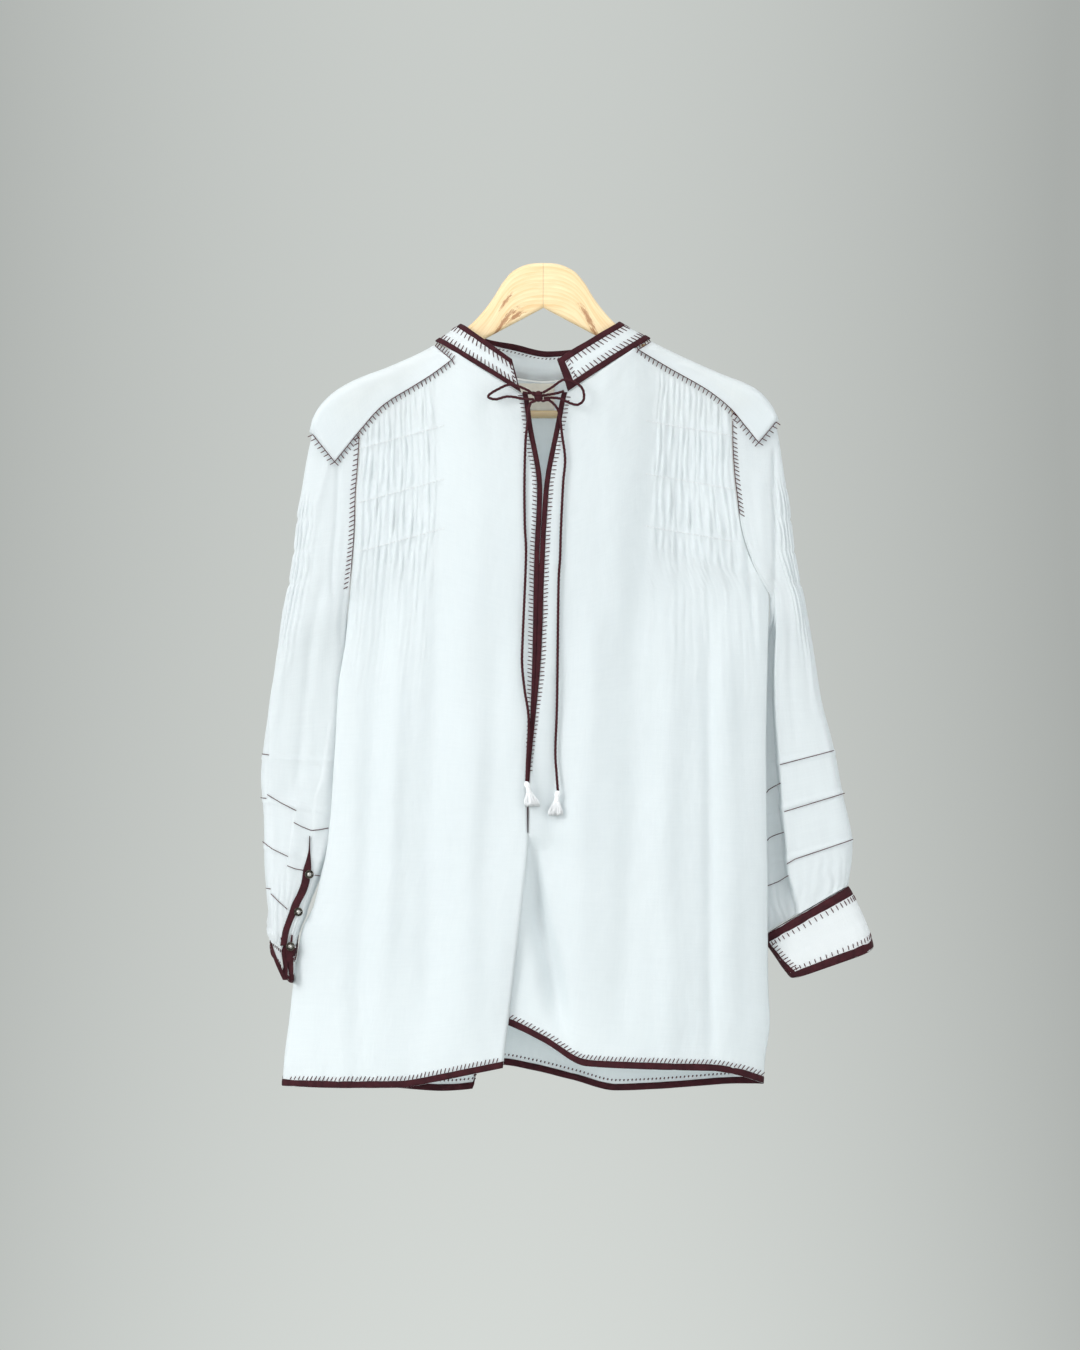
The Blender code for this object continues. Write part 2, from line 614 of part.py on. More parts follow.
def sleeve_point(rows, around, along, step=None):
    """A point of a sleeve: around runs from the inner edge over the front to the outer
    edge (0.5) and back behind, along from the head (0) to the cuff seam (1) and hem (2)."""
    around, along = np.broadcast_arrays(np.asarray(around, float), np.asarray(along, float))
    turn = {c: read(rows, "along", c, along) for c in rows if c != "along"}
    across = (1 - np.cos(2 * math.pi * around)) / 2
    side = np.where(around < 0.5, -1.0, 1.0)
    down = mix(turn["in_down"], turn["out_down"], across)
    opened = openness(turn["in_down"])
    edge = read(BODY, "down", "left" if rows is SLEEVE_LEFT else "right", turn["in_down"])
    outward = -1 if rows is SLEEVE_LEFT else 1
    margin = SEAM_EASE_LEFT if outward < 0 else SEAM_EASE_RIGHT
    edge = edge + outward * (2 * SEAM_GAP - HALF_WALL + margin * (1 - opened**2))
    seam_x = mix(edge, turn["in_x"], ramp(turn["in_down"], UNDERARM, UNDERARM + 40))
    profile = np.sqrt(
        np.clip((1 - across**SIDE_POWER) * (1 - (1 - opened**2) * (1 - across) ** SIDE_POWER), 0, 1)
    )
    seam_half = depth_from_shoulder(turn["in_x"], turn["in_down"], PANEL_UNDER_STRAP, PANEL_ROUND)
    half = mix(turn["half"], seam_half, 1 - ramp(turn["in_down"], 300, UNDERARM + 60))
    out = half * profile
    if step is not None:
        fold = read(step, "along", "across", along)
        amount = read(step, "along", "amount", along) * (along > step["along"][0])
        behind = (side < 0) * amount * (1 - ramp(across, fold - 0.035, fold + 0.01))
        out = out * (1 - 1.25 * behind)
    x = mix(seam_x, turn["out_x"], across)
    down = down - side * turn["dip"] * profile
    back_top = shoulder(x) + PANEL_UNDER_STRAP + 6.0
    lift = (side > 0) * (1 - ramp(along, 0.0, 0.2)) * (1 - ramp(across, 0.78, 0.92))
    down = mix(down, np.minimum(down, back_top + along * 200), lift)
    under_strap = depth_from_shoulder(x, down, PANEL_UNDER_STRAP, PANEL_ROUND)
    out = np.where(along < 0.25, np.minimum(out, under_strap), out)
    return points(x, turn["middle"] + side * out, down)


SLEEVE_GATHER_SPAN = (0.30, 0.70)
SLEEVE_GATHERS = 8
SLEEVE_SHIRRING_END = 0.33
CUFF_GATHER_START = 0.80
SLEEVE_ROWS = (0, 0.06, 0.13, 0.21, 0.29, 0.36, 0.43, 0.52, 0.62, 0.72, 0.81, 0.89, 0.95, 1.0)


def sleeve_columns():
    start, end = SLEEVE_GATHER_SPAN
    return np.concatenate([
        np.linspace(0, start, 7)[:-1], np.linspace(start, end, 2 * SLEEVE_GATHERS + 1),
        np.linspace(end, 1, 6)[1:],
    ])


def sleeve_normals(grid):
    """Unit directions out of a grid of points, towards the outside of the sleeve."""
    across = np.gradient(grid, axis=1)
    along = np.gradient(grid, axis=0)
    out = np.cross(across, along)
    return out / np.maximum(np.linalg.norm(out, axis=-1, keepdims=True), 1e-9)


def make_sleeve(name, rows, step, head_gather, white):
    around = sleeve_columns()
    along = np.array(SLEEVE_ROWS)
    grid = np.array([sleeve_point(rows, around, a, step) for a in along])
    wave = np.cos(math.pi * np.arange(len(around)))
    span = ramp(around, 0.30, 0.36) * (1 - ramp(around, 0.64, 0.70))
    head = head_gather * (1 - ramp(along, SLEEVE_SHIRRING_END - 0.05, SLEEVE_SHIRRING_END + 0.1))
    head = head * ramp(along, 0.08, 0.16)
    cuff = 0.9 * ramp(along, CUFF_GATHER_START, 0.96)
    height = head[:, None] * span + cuff[:, None] * ramp(around, 0.04, 0.1) * (1 - ramp(around, 0.9, 0.96))
    grid = grid + sleeve_normals(grid) * (height * wave)[..., None]
    underarm_row = int(np.argmax(read(rows, "along", "in_down", along) >= UNDERARM))
    cloth(f"sleeve_{name}", grid, white, joined_from=underarm_row)
    return grid


CUFF_SEAM = {"left": 0.018, "right": 0.011}
CUFF_BINDING_SHARE = 0.1


def make_cuff(name, rows, opening, white, maroon):
    """A cuff round the sleeve's end, open at one place around."""
    around = opening + np.concatenate(
        [[0.02], np.linspace(0.05, 0.95, 19), [0.98]]
    )
    around = np.mod(around, 1.0)
    seam = CUFF_SEAM[name]
    top, foot = 1 + seam + CUFF_BINDING_SHARE, 2 - CUFF_BINDING_SHARE
    bands = {
        f"cuff_top_binding_{name}": (1 + seam, top, maroon, BINDING_WALL),
        f"cuff_{name}": (top + seam, foot - seam * 1.3, white, WALL),
        f"cuff_hem_binding_{name}": (foot, 2.0, maroon, BINDING_WALL),
    }
    for node, (start, end, surface, wall) in bands.items():
        levels = (start, end) if surface is maroon else np.linspace(start, end, 3)
        grid = np.array([sleeve_point(rows, around, level) for level in levels])
        cloth(node, grid, surface, wall)


# Hanger


def arm_outline(side):
    """Stations along an arm: distance from the middle, its top and its underside."""
    arch = table(
        "out top",
        (0.3, 0.0), (15.5, 1.4), (30.0, 7.8), (40.2, 18.8), (50.4, 35.2), (60.5, 48.6),
        (70.8, 59.7), (84.0, 70.5), (104.0, 83.4),
    )
    seat = BAR_HALF_LENGTH + 0.6
    out = np.concatenate([arch["out"], [130.0, 158.0, seat - 0.3, seat, 202.0, 207.0]])
    on_shoulder = shoulder(side * out) + 3.4
    top = np.where(out < 105, np.interp(out, arch["out"], arch["top"]), on_shoulder)
    under = 45 + 0.53 * out
    under[-3:] = (BAR_SEAT_DOWN, BAR_SEAT_DOWN - 1, BAR_SEAT_DOWN - 5)
    top[-1] += 6.0
    return out, top, under


def make_hanger(pine):
    for name, side in (("left", -1), ("right", 1)):
        out, top, under = arm_outline(side)
        t, c = ARM_HALF_THICKNESS - ARM_TAPER * ramp(out, 150, 183), ARM_CHAMFER
        ring = []
        for y, at_top, inset in (
            (-t, 1, c), (-t + c, 1, 0), (t - c, 1, 0), (t, 1, c),
            (t, 0, c), (t - c, 0, 0), (-t + c, 0, 0), (-t, 0, c),
        ):
            down = np.where(at_top, top + inset, under - inset)
            ring.append(points(side * out, y, down))
        grid = np.array(ring)
        count, stations = grid.shape[:2]
        index = np.arange(count * stations).reshape(count, stations)
        faces = []
        for r in range(count):
            after = (r + 1) % count
            for s in range(stations - 1):
                quad = (index[r, s], index[r, s + 1], index[after, s + 1], index[after, s])
                faces.append(quad if side > 0 else quad[::-1])
        inner, outer = list(index[:, 0]), list(index[:, -1])
        faces += [inner, outer[::-1]] if side > 0 else [inner[::-1], outer]
        arm = add_mesh(f"hanger_arm_{name}", grid, faces, pine, smooth=False)
        cut_screw_hole(arm)
    add_rod("hanger_bar", BAR_HALF_LENGTH, BAR_DIAMETER / 2, BAR_DOWN, pine)


def cut_screw_hole(arm):
    cutter = bpy.data.objects.get("screw_hole_cutter")
    if cutter is None:
        bpy.ops.mesh.primitive_cylinder_add(
            vertices=12, radius=SCREW_HOLE_DIAMETER / 2 * MM, depth=2 * SCREW_HOLE_DEPTH * MM
        )
        cutter = bpy.context.object
        cutter.name = "screw_hole_cutter"
        cutter.hide_render = True
        cutter.display_type = "WIRE"
    hole = arm.modifiers.new("screw_hole", "BOOLEAN")
    hole.operation = "DIFFERENCE"
    hole.object = cutter


def add_rod(name, half_length, radius, down, surface):
    bpy.ops.mesh.primitive_cylinder_add(vertices=16, radius=radius * MM, depth=2 * half_length * MM)
    rod = bpy.context.object
    rod.name = name
    rod.rotation_euler = (0, math.pi / 2, 0)
    rod.location = (0, 0, -down * MM)
    rod.data.materials.append(surface)
    rod.data.shade_smooth()
    return rod


# Ties and tassels

KNOT = (-4.5, 134.5)
TIE_FRONT = 3.4
TIE_ROUTES = {
    "tie_loop_left": (
        (-8.5, 134.0, 4.0), (-17.0, 128.0, 5.0), (-32.5, 123.0, 6.0), (-46.0, 128.0, 6.0),
        (-55.2, 134.6, 6.0), (-48.0, 137.6, 5.0), (-35.5, 134.8, 4.0), (-20.0, 137.0, 4.0),
        (-9.4, 137.8, 4.0),
    ),
    "tie_loop_right": (
        (-0.5, 131.0, 4.0), (8.0, 126.0, 5.0), (19.5, 118.4, 6.0), (30.0, 120.0, 6.0),
        (38.6, 127.0, 6.0), (40.0, 137.6, 6.0), (34.1, 143.0, 6.0), (25.9, 141.2, 5.0),
        (17.0, 137.0, 4.0), (8.0, 136.0, 4.0), (0.2, 136.4, 4.0),
    ),
    "tie_strand_left": ((-20.4, 130.6, -1.0), (-15.6, 131.4, 0.6), (-9.8, 131.0, 2.0)),
    "tie_strand_right": ((20.2, 129.2, -1.0), (14.0, 131.2, 0.6), (7.0, 132.6, 1.4), (0.3, 133.6, 2.2)),
    "tie_cord_left": (
        (-7.2, 139.0, 4.6), (-12.9, 141.6, 4.6), (-15.2, 150.0, 2.6), (-16.0, 161.0, 0.6),
        (-18.0, 181.0, 0.0), (-19.0, 222.0, 0.0), (-18.6, 263.0, 0.0), (-17.5, 295.0, 0.0),
        (-20.8, 377.0, 0.0), (-21.3, 402.0, 0.0), (-18.8, 427.0, 0.0), (-14.7, 457.0, 0.0),
        (-16.4, 500.0, 1.2), (-17.0, 517.6, 4.6),
    ),
    "tie_cord_right": (
        (-1.2, 139.6, 4.6), (5.5, 138.6, 7.4), (13.5, 146.4, 4.0), (16.5, 156.6, 1.0),
        (18.5, 173.0, 0.0), (21.5, 197.0, 0.0), (19.5, 222.0, 0.0), (17.5, 263.0, 0.0),
        (16.5, 295.0, 0.0), (14.9, 325.6, 0.0), (13.5, 437.0, 0.0), (11.8, 487.0, 0.0), (13.0, 510.0, 1.4),
        (14.3, 526.8, 4.6),
    ),
}
TASSELS = {"left": (-17.0, 518.2, 0.12), "right": (14.0, 527.4, -0.02)}
TASSEL_FORWARD = 4.6


def tie_y(x, down):
    """Depth of the tie's own plane: a cord lying on the front of the shirt."""
    return np.minimum(front_y(x, down), -24.0 * (1 - ramp(down, 140, 400)) - 6) - TIE_FRONT


def smooth_route(route, spacing):
    """Points along a smooth curve through a route's own points, evenly spaced."""
    route = np.array(route, dtype=float)
    x, down, forward = route.T
    line = points(x, tie_y(x, down) - forward, down)
    ends = np.vstack([2 * line[0] - line[1], line, 2 * line[-1] - line[-2]])
    fine = []
    for a, b, c, d in zip(ends, ends[1:], ends[2:], ends[3:]):
        for t in np.linspace(0, 1, 12, endpoint=False):
            fine.append(0.5 * (2 * b + (c - a) * t + (2 * a - 5 * b + 4 * c - d) * t**2
                               + (3 * b - a - 3 * c + d) * t**3))
    fine.append(line[-1])
    fine = np.array(fine)
    run = np.concatenate([[0], np.cumsum(np.linalg.norm(np.diff(fine, axis=0), axis=1))])
    count = max(6, int(run[-1] / spacing))
    at = np.linspace(0, run[-1], count)
    return np.stack([np.interp(at, run, fine[:, i]) for i in range(3)], -1)


def add_cord(name, line, surface):
    curve = bpy.data.curves.new(name, "CURVE")
    curve.dimensions = "3D"
    curve.bevel_depth = CORD_DIAMETER / 2 * MM
    curve.bevel_resolution = 2
    curve.use_fill_caps = True
    spline = curve.splines.new("POLY")
    spline.points.add(len(line) - 1)
    flat = np.column_stack([line * (MM, MM, -MM), np.ones(len(line))])
    spline.points.foreach_set("co", flat.ravel())
    curve.materials.append(surface)
    made = bpy.data.objects.new(name, curve)
    bpy.context.collection.objects.link(made)


def add_ball(name, centre, radii, surface, around=12, rings=7):
    """A ball or oval button, knot or bead, from rings of points."""
    x, y, down = centre
    faces, place = [], [(x, y, down - radii[2])]
    for r in range(1, rings):
        tilt = math.pi * r / rings
        for a in range(around):
            turn = 2 * math.pi * a / around
            place.append((
                x + radii[0] * math.sin(tilt) * math.cos(turn),
                y + radii[1] * math.sin(tilt) * math.sin(turn),
                down - radii[2] * math.cos(tilt),
            ))
    place.append((x, y, down + radii[2]))
    last = len(place) - 1
    for a in range(around):
        b = (a + 1) % around
        faces.append((0, 1 + a, 1 + b))
        for r in range(rings - 2):
            at = 1 + r * around
            faces.append((at + a, at + around + a, at + around + b, at + b))
        at = 1 + (rings - 2) * around
        faces.append((at + a, last, at + b))
    return add_mesh(name, place, faces, surface)


def make_ties(maroon, white):
    knot_y = float(tie_y(KNOT[0], KNOT[1])) - 2.6
    add_ball("tie_knot", (KNOT[0], knot_y, KNOT[1]), (3.2, 3.0, 4.0), maroon, 10, 6)
    for name, route in TIE_ROUTES.items():
        add_cord(name, smooth_route(route, 7.4 if "cord" in name else 5.0), maroon)
    for name, (x, down, lean) in TASSELS.items():
        make_tassel(name, x, down, lean, white)


TASSEL_LENGTH = 26.0
TASSEL_HEAD = (2.6, 2.6, 4.2)


def make_tassel(name, x, down, lean, white):
    """Strands of three sides whose tops are fused in an oval head."""
    y = float(tie_y(x, down)) - TASSEL_FORWARD
    head_down = down + TASSEL_HEAD[2] + 0.4
    head = add_ball(f"tassel_{name}", (x, y, head_down), TASSEL_HEAD, white, 10, 6)
    corners, faces = [], []
    for s in range(TASSEL_STRANDS):
        turn = s * 2.39996
        out = math.sqrt((s + 0.5) / TASSEL_STRANDS)
        root = np.array([x + 1.7 * out * math.cos(turn), y + 1.7 * out * math.sin(turn), head_down + 1.5])
        end = np.array([
            x + lean * TASSEL_LENGTH + 6.2 * out * math.cos(turn),
            y + 3.4 * out * math.sin(turn),
            down + TASSEL_LENGTH * (1 - 0.05 * (s % 3)),
        ])
        size = 0.55
        first = len(corners)
        for centre, grown in ((root, 0.6), (end, 1.0)):
            for k in range(3):
                angle = turn + 2 * math.pi * k / 3
                spread = (size * grown * math.cos(angle), size * grown * math.sin(angle), 0)
                corners.append(centre + spread)
        a = first
        faces += [(a, a + 1, a + 2), (a + 5, a + 4, a + 3)]
        faces += [(a + k, a + 3 + k, a + 3 + (k + 1) % 3, a + (k + 1) % 3) for k in range(3)]
    strands = add_mesh(f"strands_{name}", corners, faces, white, smooth=False)
    strands.hide_render = True
    strands.display_type = "WIRE"
    joined = head.modifiers.new("strands", "BOOLEAN")
    joined.operation = "UNION"
    joined.use_self = True
    joined.object = strands


# Sleeve openings, buttons and label

OPENING_LEFT = table(
    "down middle half",
    (574, -233.8, 0.9), (585, -234.0, 1.6), (597, -234.8, 3.6), (607, -236.2, 4.0),
    (618, -237.6, 4.0), (630, -241.6, 4.4), (640, -246.8, 4.8), (651, -251.0, 4.3),
    (660, -254.6, 3.8), (668, -257.2, 3.6),
)
BUTTONS_LEFT = ((-233.9, 611.1), (-244.6, 648.4), (-252.5, 682.8))
OPENING_RIGHT = table(
    "down middle half", (545, 262.0, 1.0), (575, 262.4, 2.6), (610, 263.0, 3.6), (648, 264.0, 3.6),
)
BUTTONS_RIGHT = ((262.6, 580.0), (263.6, 622.0), (272.0, 676.0))


def sleeve_surface_y(grid, x, down, side):
    """Depth of a sleeve's front (side -1) or back (+1) at a point seen from the front."""
    half = grid.shape[1] // 2
    part = grid[:, : half + 1] if side < 0 else grid[:, half:]
    flat = part.reshape(-1, 3)
    near = np.hypot(flat[:, 0] - x, flat[:, 2] - down)
    nearest = np.argsort(near)[:6]
    ys = flat[nearest, 1]
    return float(ys.min() if side < 0 else ys.max())


def opening_strip(name, rows, grid, side, stand, maroon):
    down = np.linspace(rows["down"][0], rows["down"][-1], 12)
    middle = read(rows, "down", "middle", down)
    half = read(rows, "down", "half", down)
    y = np.array([sleeve_surface_y(grid, x, d, side) for x, d in zip(middle, down)])
    y = np.convolve(np.pad(y, 1, mode="edge"), (0.25, 0.5, 0.25), "valid") + side * stand
    strip = np.array([points(middle - half, y, down), points(middle + half, y, down)])
    cloth(f"sleeve_opening_binding_{name}", strip, maroon, wall=1.6)
    return down, y


def make_openings(left, right, maroon, silver):
    sides = (
        ("left", OPENING_LEFT, BUTTONS_LEFT, left, -1, 2.8, SLEEVE_LEFT),
        ("right", OPENING_RIGHT, BUTTONS_RIGHT, right, 1, 2.2, SLEEVE_RIGHT),
    )
    for name, rows, buttons, grid, side, stand, sections in sides:
        down, y = opening_strip(name, rows, grid, side, stand, maroon)
        cuff = np.array([sleeve_point(sections, sleeve_columns(), a) for a in np.linspace(1.1, 2, 9)])
        for number, (x, at) in enumerate(buttons, 1):
            surface = float(np.interp(at, down, y))
            stand_off = 1.3
            if at > down[-1]:
                stand_off = 0.9
                surface = sleeve_surface_y(cuff, x, at, side)
            radius = BUTTON_DIAMETER / 2
            centre = (x, surface + side * (radius * 0.8 + stand_off), at)
            add_ball(f"button_{name}_{number}", centre, (radius, radius * 0.8, radius), silver, 8, 6)


LABEL_HALF_WIDTH = 18.0
LABEL_TOP = 119.5
LABEL_END = 146.5


def make_label(cream):
    x = np.array([-LABEL_HALF_WIDTH, 0, LABEL_HALF_WIDTH]) - 7.0
    down = np.linspace(LABEL_TOP, LABEL_END, 4)
    x, down = np.meshgrid(x, down)
    y = back_y(x, down).min(axis=1, keepdims=True) - 2.1 + 0 * x
    cloth("label", points(x, y, down), cream, wall=0.8)


def main():
    for old in list(bpy.data.objects):
        bpy.data.objects.remove(old, do_unlink=True)
    white = material("white_cotton", WHITE)
    maroon = material("maroon_binding", MAROON, 0.8)
    pine = material("pine", PINE, 0.5)
    silver = material("silver", SILVER, 0.3, 1.0)
    cream = material("cream_label", CREAM, 0.8)
    make_hanger(pine)
    make_front(white, maroon)
    make_back(white, maroon)
    make_collar(white, maroon)
    make_straps(white)
    left = make_sleeve("left", SLEEVE_LEFT, None, 0.8, white)
    right = make_sleeve("right", SLEEVE_RIGHT, RIGHT_STEP, 1.2, white)
    make_cuff("left", SLEEVE_LEFT, 0.25, white, maroon)
    make_cuff("right", SLEEVE_RIGHT, 0.0, white, maroon)
    make_openings(left, right, maroon, silver)
    make_ties(maroon, white)
    make_label(cream)


main()
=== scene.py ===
"""A cotton shirt with bound and stitched edges, hung on a wooden hanger.

Lengths are millimetres: x to the viewer's right, y away from the viewer, "down" below the
hanger's top. add_piece turns them into metres with +Z up. Every surface is a function of
two parameters, worked out as whole arrays, and follows the shirt's own named sizes.
"""

import math

import bmesh
import bpy
import numpy as np
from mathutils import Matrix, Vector


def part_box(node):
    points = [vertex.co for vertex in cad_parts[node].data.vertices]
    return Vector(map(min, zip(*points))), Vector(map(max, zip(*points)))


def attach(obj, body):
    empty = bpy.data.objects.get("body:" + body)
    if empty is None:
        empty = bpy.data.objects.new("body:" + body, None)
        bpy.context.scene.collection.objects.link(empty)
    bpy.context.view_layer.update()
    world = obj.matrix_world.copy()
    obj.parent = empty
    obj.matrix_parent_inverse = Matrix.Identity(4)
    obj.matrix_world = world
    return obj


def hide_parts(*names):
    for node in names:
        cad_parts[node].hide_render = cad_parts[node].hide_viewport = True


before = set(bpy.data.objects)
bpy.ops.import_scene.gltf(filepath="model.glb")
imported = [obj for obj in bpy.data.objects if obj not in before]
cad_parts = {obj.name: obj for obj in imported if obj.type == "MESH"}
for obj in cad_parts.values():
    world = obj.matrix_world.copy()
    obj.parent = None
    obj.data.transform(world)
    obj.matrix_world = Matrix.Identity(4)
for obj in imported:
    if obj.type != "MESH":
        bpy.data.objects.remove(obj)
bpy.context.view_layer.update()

MM = 0.001

# Walls and bindings
CLOTH = 0.7
STRAP_CLOTH = 1.1
HALF_WALL = 0.6
BINDING = 7.0
SLIT_BINDING = 5.2

# The round fold at the shoulder line, of a panel and of a strap over it
PANEL_ROUND = 7.0
STRAP_ROUND = 8.9
PANEL_UNDER_STRAP = 2.3

# Depths at which the armhole starts to close, the side seam starts, and the neck slit ends
ARMHOLE_CLOSES = 250.0
UNDERARM = 335.0
SLIT_END = 569.0
SIDE_POWER = 3.0
EDGE_HALF_DEPTH = 0.45

# Sewing: pitch and length of the edge stitches, radius of their thread, rise off the cloth
STITCH_PITCH = 4.1
STITCH_LENGTH = 4.6
THREAD = 0.52
SEAM_THREAD = 0.42
ON_CLOTH = 0.75
ENDS_ON_CLOTH = 0.6

# Tables and how they are read


def table(columns, *rows):
    """A short table: the names of its columns, then its rows."""
    return dict(zip(columns.split(), np.array(rows, dtype=float).T))


def read(rows, by, column, at):
    """A column at places between the rows, as a cubic that never overshoots them."""
    known, value = rows[by], rows[column]
    step = np.diff(known)
    rise = np.diff(value) / step
    slope = np.zeros_like(value)
    turning = rise[:-1] * rise[1:]
    same = turning > 0
    slope[1:-1][same] = 2 * turning[same] / (rise[:-1] + rise[1:])[same]
    slope[0], slope[-1] = rise[0], rise[-1]
    at = np.clip(np.asarray(at, dtype=float), known[0], known[-1])
    i = np.clip(np.searchsorted(known, at) - 1, 0, len(step) - 1)
    t = (at - known[i]) / step[i]
    return (
        value[i] * (1 + 2 * t) * (1 - t) ** 2
        + slope[i] * step[i] * t * (1 - t) ** 2
        + value[i + 1] * t * t * (3 - 2 * t)
        - slope[i + 1] * step[i] * t * t * (1 - t)
    )


def ramp(at, start, end):
    """0 before the start, 1 past the end, smooth between."""
    t = np.clip((np.asarray(at, dtype=float) - start) / (end - start), 0, 1)
    return t * t * (3 - 2 * t)


def mix(a, b, share):
    """a at share 0, b at share 1, in proportion between."""
    return a + (b - a) * share


def points(x, y, down):
    """Three arrays made one, with x, y and down as its last axis."""
    return np.stack(np.broadcast_arrays(x, y, down), axis=-1).astype(float)


def ripple(u, v, seed, waves=6):
    """Soft unevenness about -1 to 1: a sum of sine waves in fixed directions over (u, v)."""
    chance = np.random.default_rng(seed)
    total = np.zeros(np.broadcast(u, v).shape)
    for _ in range(waves):
        turn, phase = chance.uniform(0, 2 * math.pi, 2)
        pitch = 2 * math.pi * chance.uniform(0.6, 1.6)
        total += np.sin((u * math.cos(turn) + v * math.sin(turn)) * pitch + phase)
    return total / math.sqrt(waves)


SHOULDER = table(
    "x down",
    (-234.1, 170.7), (-232.1, 159.4), (-221.9, 141.0), (-203.5, 124.8), (-181.1, 113.5),
    (-156.5, 104.3), (-107.5, 81.0), (-82.3, 60.3), (74.9, 58.6), (106.7, 77.8),
    (172.0, 108.4), (210.8, 124.8), (227.1, 141.0), (235.3, 157.4),
)

BODY = table(
    "down left right",
    (147, -183.0, 188.4), (178, -183.8, 188.6), (210, -185.8, 190.4), (231, -187.4, 192.8),
    (265, -188.4, 197.6), (300, -191.0, 209.0), (335, -194.5, 226.0), (379, -198.5, 225.0),
    (424, -205.5, 224.0), (477, -208.5, 223.0), (557, -213.8, 223.5), (589, -217.5, 224.0),
    (613, -223.0, 224.5), (644, -230.5, 224.5), (663, -240.5, 224.5), (682, -244.5, 224.5),
    (703, -248.0, 224.6), (727, -251.2, 225.0), (757, -254.5, 226.5), (797, -259.6, 221.5),
    (829, -261.5, 219.5),
)

SLIT = table(
    "down left right",
    (128, -23.0, 24.4), (134, -20.5, 22.6), (160, -16.8, 17.6), (227, -6.4, 5.4),
    (297, -9.3, 1.2), (387, -11.0, -2.0), (454, -13.2, -8.0), (517, -17.0, -13.9),
    (545, -16.3, -14.9), (569, -15.9, -15.2), (640, -22.0, -22.0), (700, -28.5, -28.5), (803, -40.5, -40.5),
)

HEM_LEFT = table(
    "x down",
    (-262, 822.4), (-205, 823.6), (-144, 823.0), (-104, 816.2), (-72, 809.5), (-40, 803.0),
)
HEM_RIGHT = table(
    "x down",
    (-44, 750.0), (-22, 761.5), (5, 778.0), (43, 801.2), (80, 803.6), (130, 805.6),
    (170, 807.0), (195, 811.5), (222, 820.6),
)
HEM_BACK = table(
    "x down",
    (-262, 819.0), (-205, 820.5), (-143, 826.5), (-100, 829.4), (-71, 827.4), (-66, 806.0),
    (-42, 803.6), (-12, 808.5), (30, 818.8), (73, 829.2), (110, 827.6), (149, 824.6),
    (195, 821.2), (222, 820.8),
)

FRONT_TOP = table(
    "x down",
    (-183.0, 156.0), (-160.6, 135.0), (-132.0, 116.8), (-113.0, 101.0), (-106.0, 81.0), (-87.5, 90.2),
    (-65.5, 104.8), (-43.5, 118.2), (-22.5, 131.4), (24.0, 130.2), (44.5, 116.6),
    (64.5, 103.6), (86.5, 88.6), (94.5, 82.4), (127.0, 98.4), (166.0, 119.8), (189.4, 136.0),
)
BACK_TOP = table(
    "x down",
    (-183.0, 123.0), (-165.0, 132.0), (-134.0, 119.0), (-104.0, 84.0), (-88.0, 84.0), (-73.5, 90.0),
    (-43.5, 111.0), (-22.0, 116.6), (0.0, 119.0),
    (22.0, 116.6), (43.5, 111.0), (73.5, 90.0), (86.0, 82.0), (102.0, 82.0), (127.0, 102.0),
    (166.0, 122.0), (189.4, 131.0),
)

FRONT_FOLDS = table(
    "top_x bottom_x start end depth width",
    (-160, -186, 290, 790, -3.2, 13), (-141, -158, 300, 700, 2.6, 12),
    (-104, -118, 290, 760, -2.4, 12), (-66, -84, 420, 800, 2.2, 20),
    (-38, -64, 330, 640, -1.8, 12), (22, 8, 360, 600, -3.4, 12), (48, 30, 330, 740, 2.4, 16),
    (92, 84, 300, 760, -2.8, 15), (124, 122, 300, 800, 2.4, 14), (165, 167, 330, 800, -2.6, 7),
    (200, 214, 252, 400, -3.0, 3.6), (211, 219, 262, 420, 2.2, 6),
    (182, 192, 360, 800, 2.2, 12),
)
BACK_FOLDS = table(
    "top_x bottom_x start end depth width",
    (-150, -196, 240, 800, 3.0, 16), (-96, -120, 200, 760, -3.4, 15), (-52, -60, 180, 800, 3.6, 17),
    (-10, -4, 150, 720, -3.8, 14), (38, 48, 170, 800, 3.8, 18), (88, 104, 200, 780, -3.2, 15),
    (140, 168, 240, 800, 3.0, 16),
)

# Shirred panels of the front: start and end as shares of the half front on the left and of
# the panel itself on the right, their gathers, the rows of shirring as depths at the panel's
# inner edge, and the slope of the rows from there.
LEFT_SHIRRING = dict(
    start=0.0, end=0.46, gathers=14, rows=(164.0, 217.6, 266.6), slope=-0.27, inner=-104.0
)
RIGHT_SHIRRING = dict(
    start=0.0, end=1.0, gathers=14, rows=(159.4, 212.5, 264.6), slope=0.17, inner=107.0
)
SHIRRING_END = 287.0
GATHER_HEIGHT = 2.0
PINCH_RIDGE = 1.3
PINCH_WIDTH = 2.4

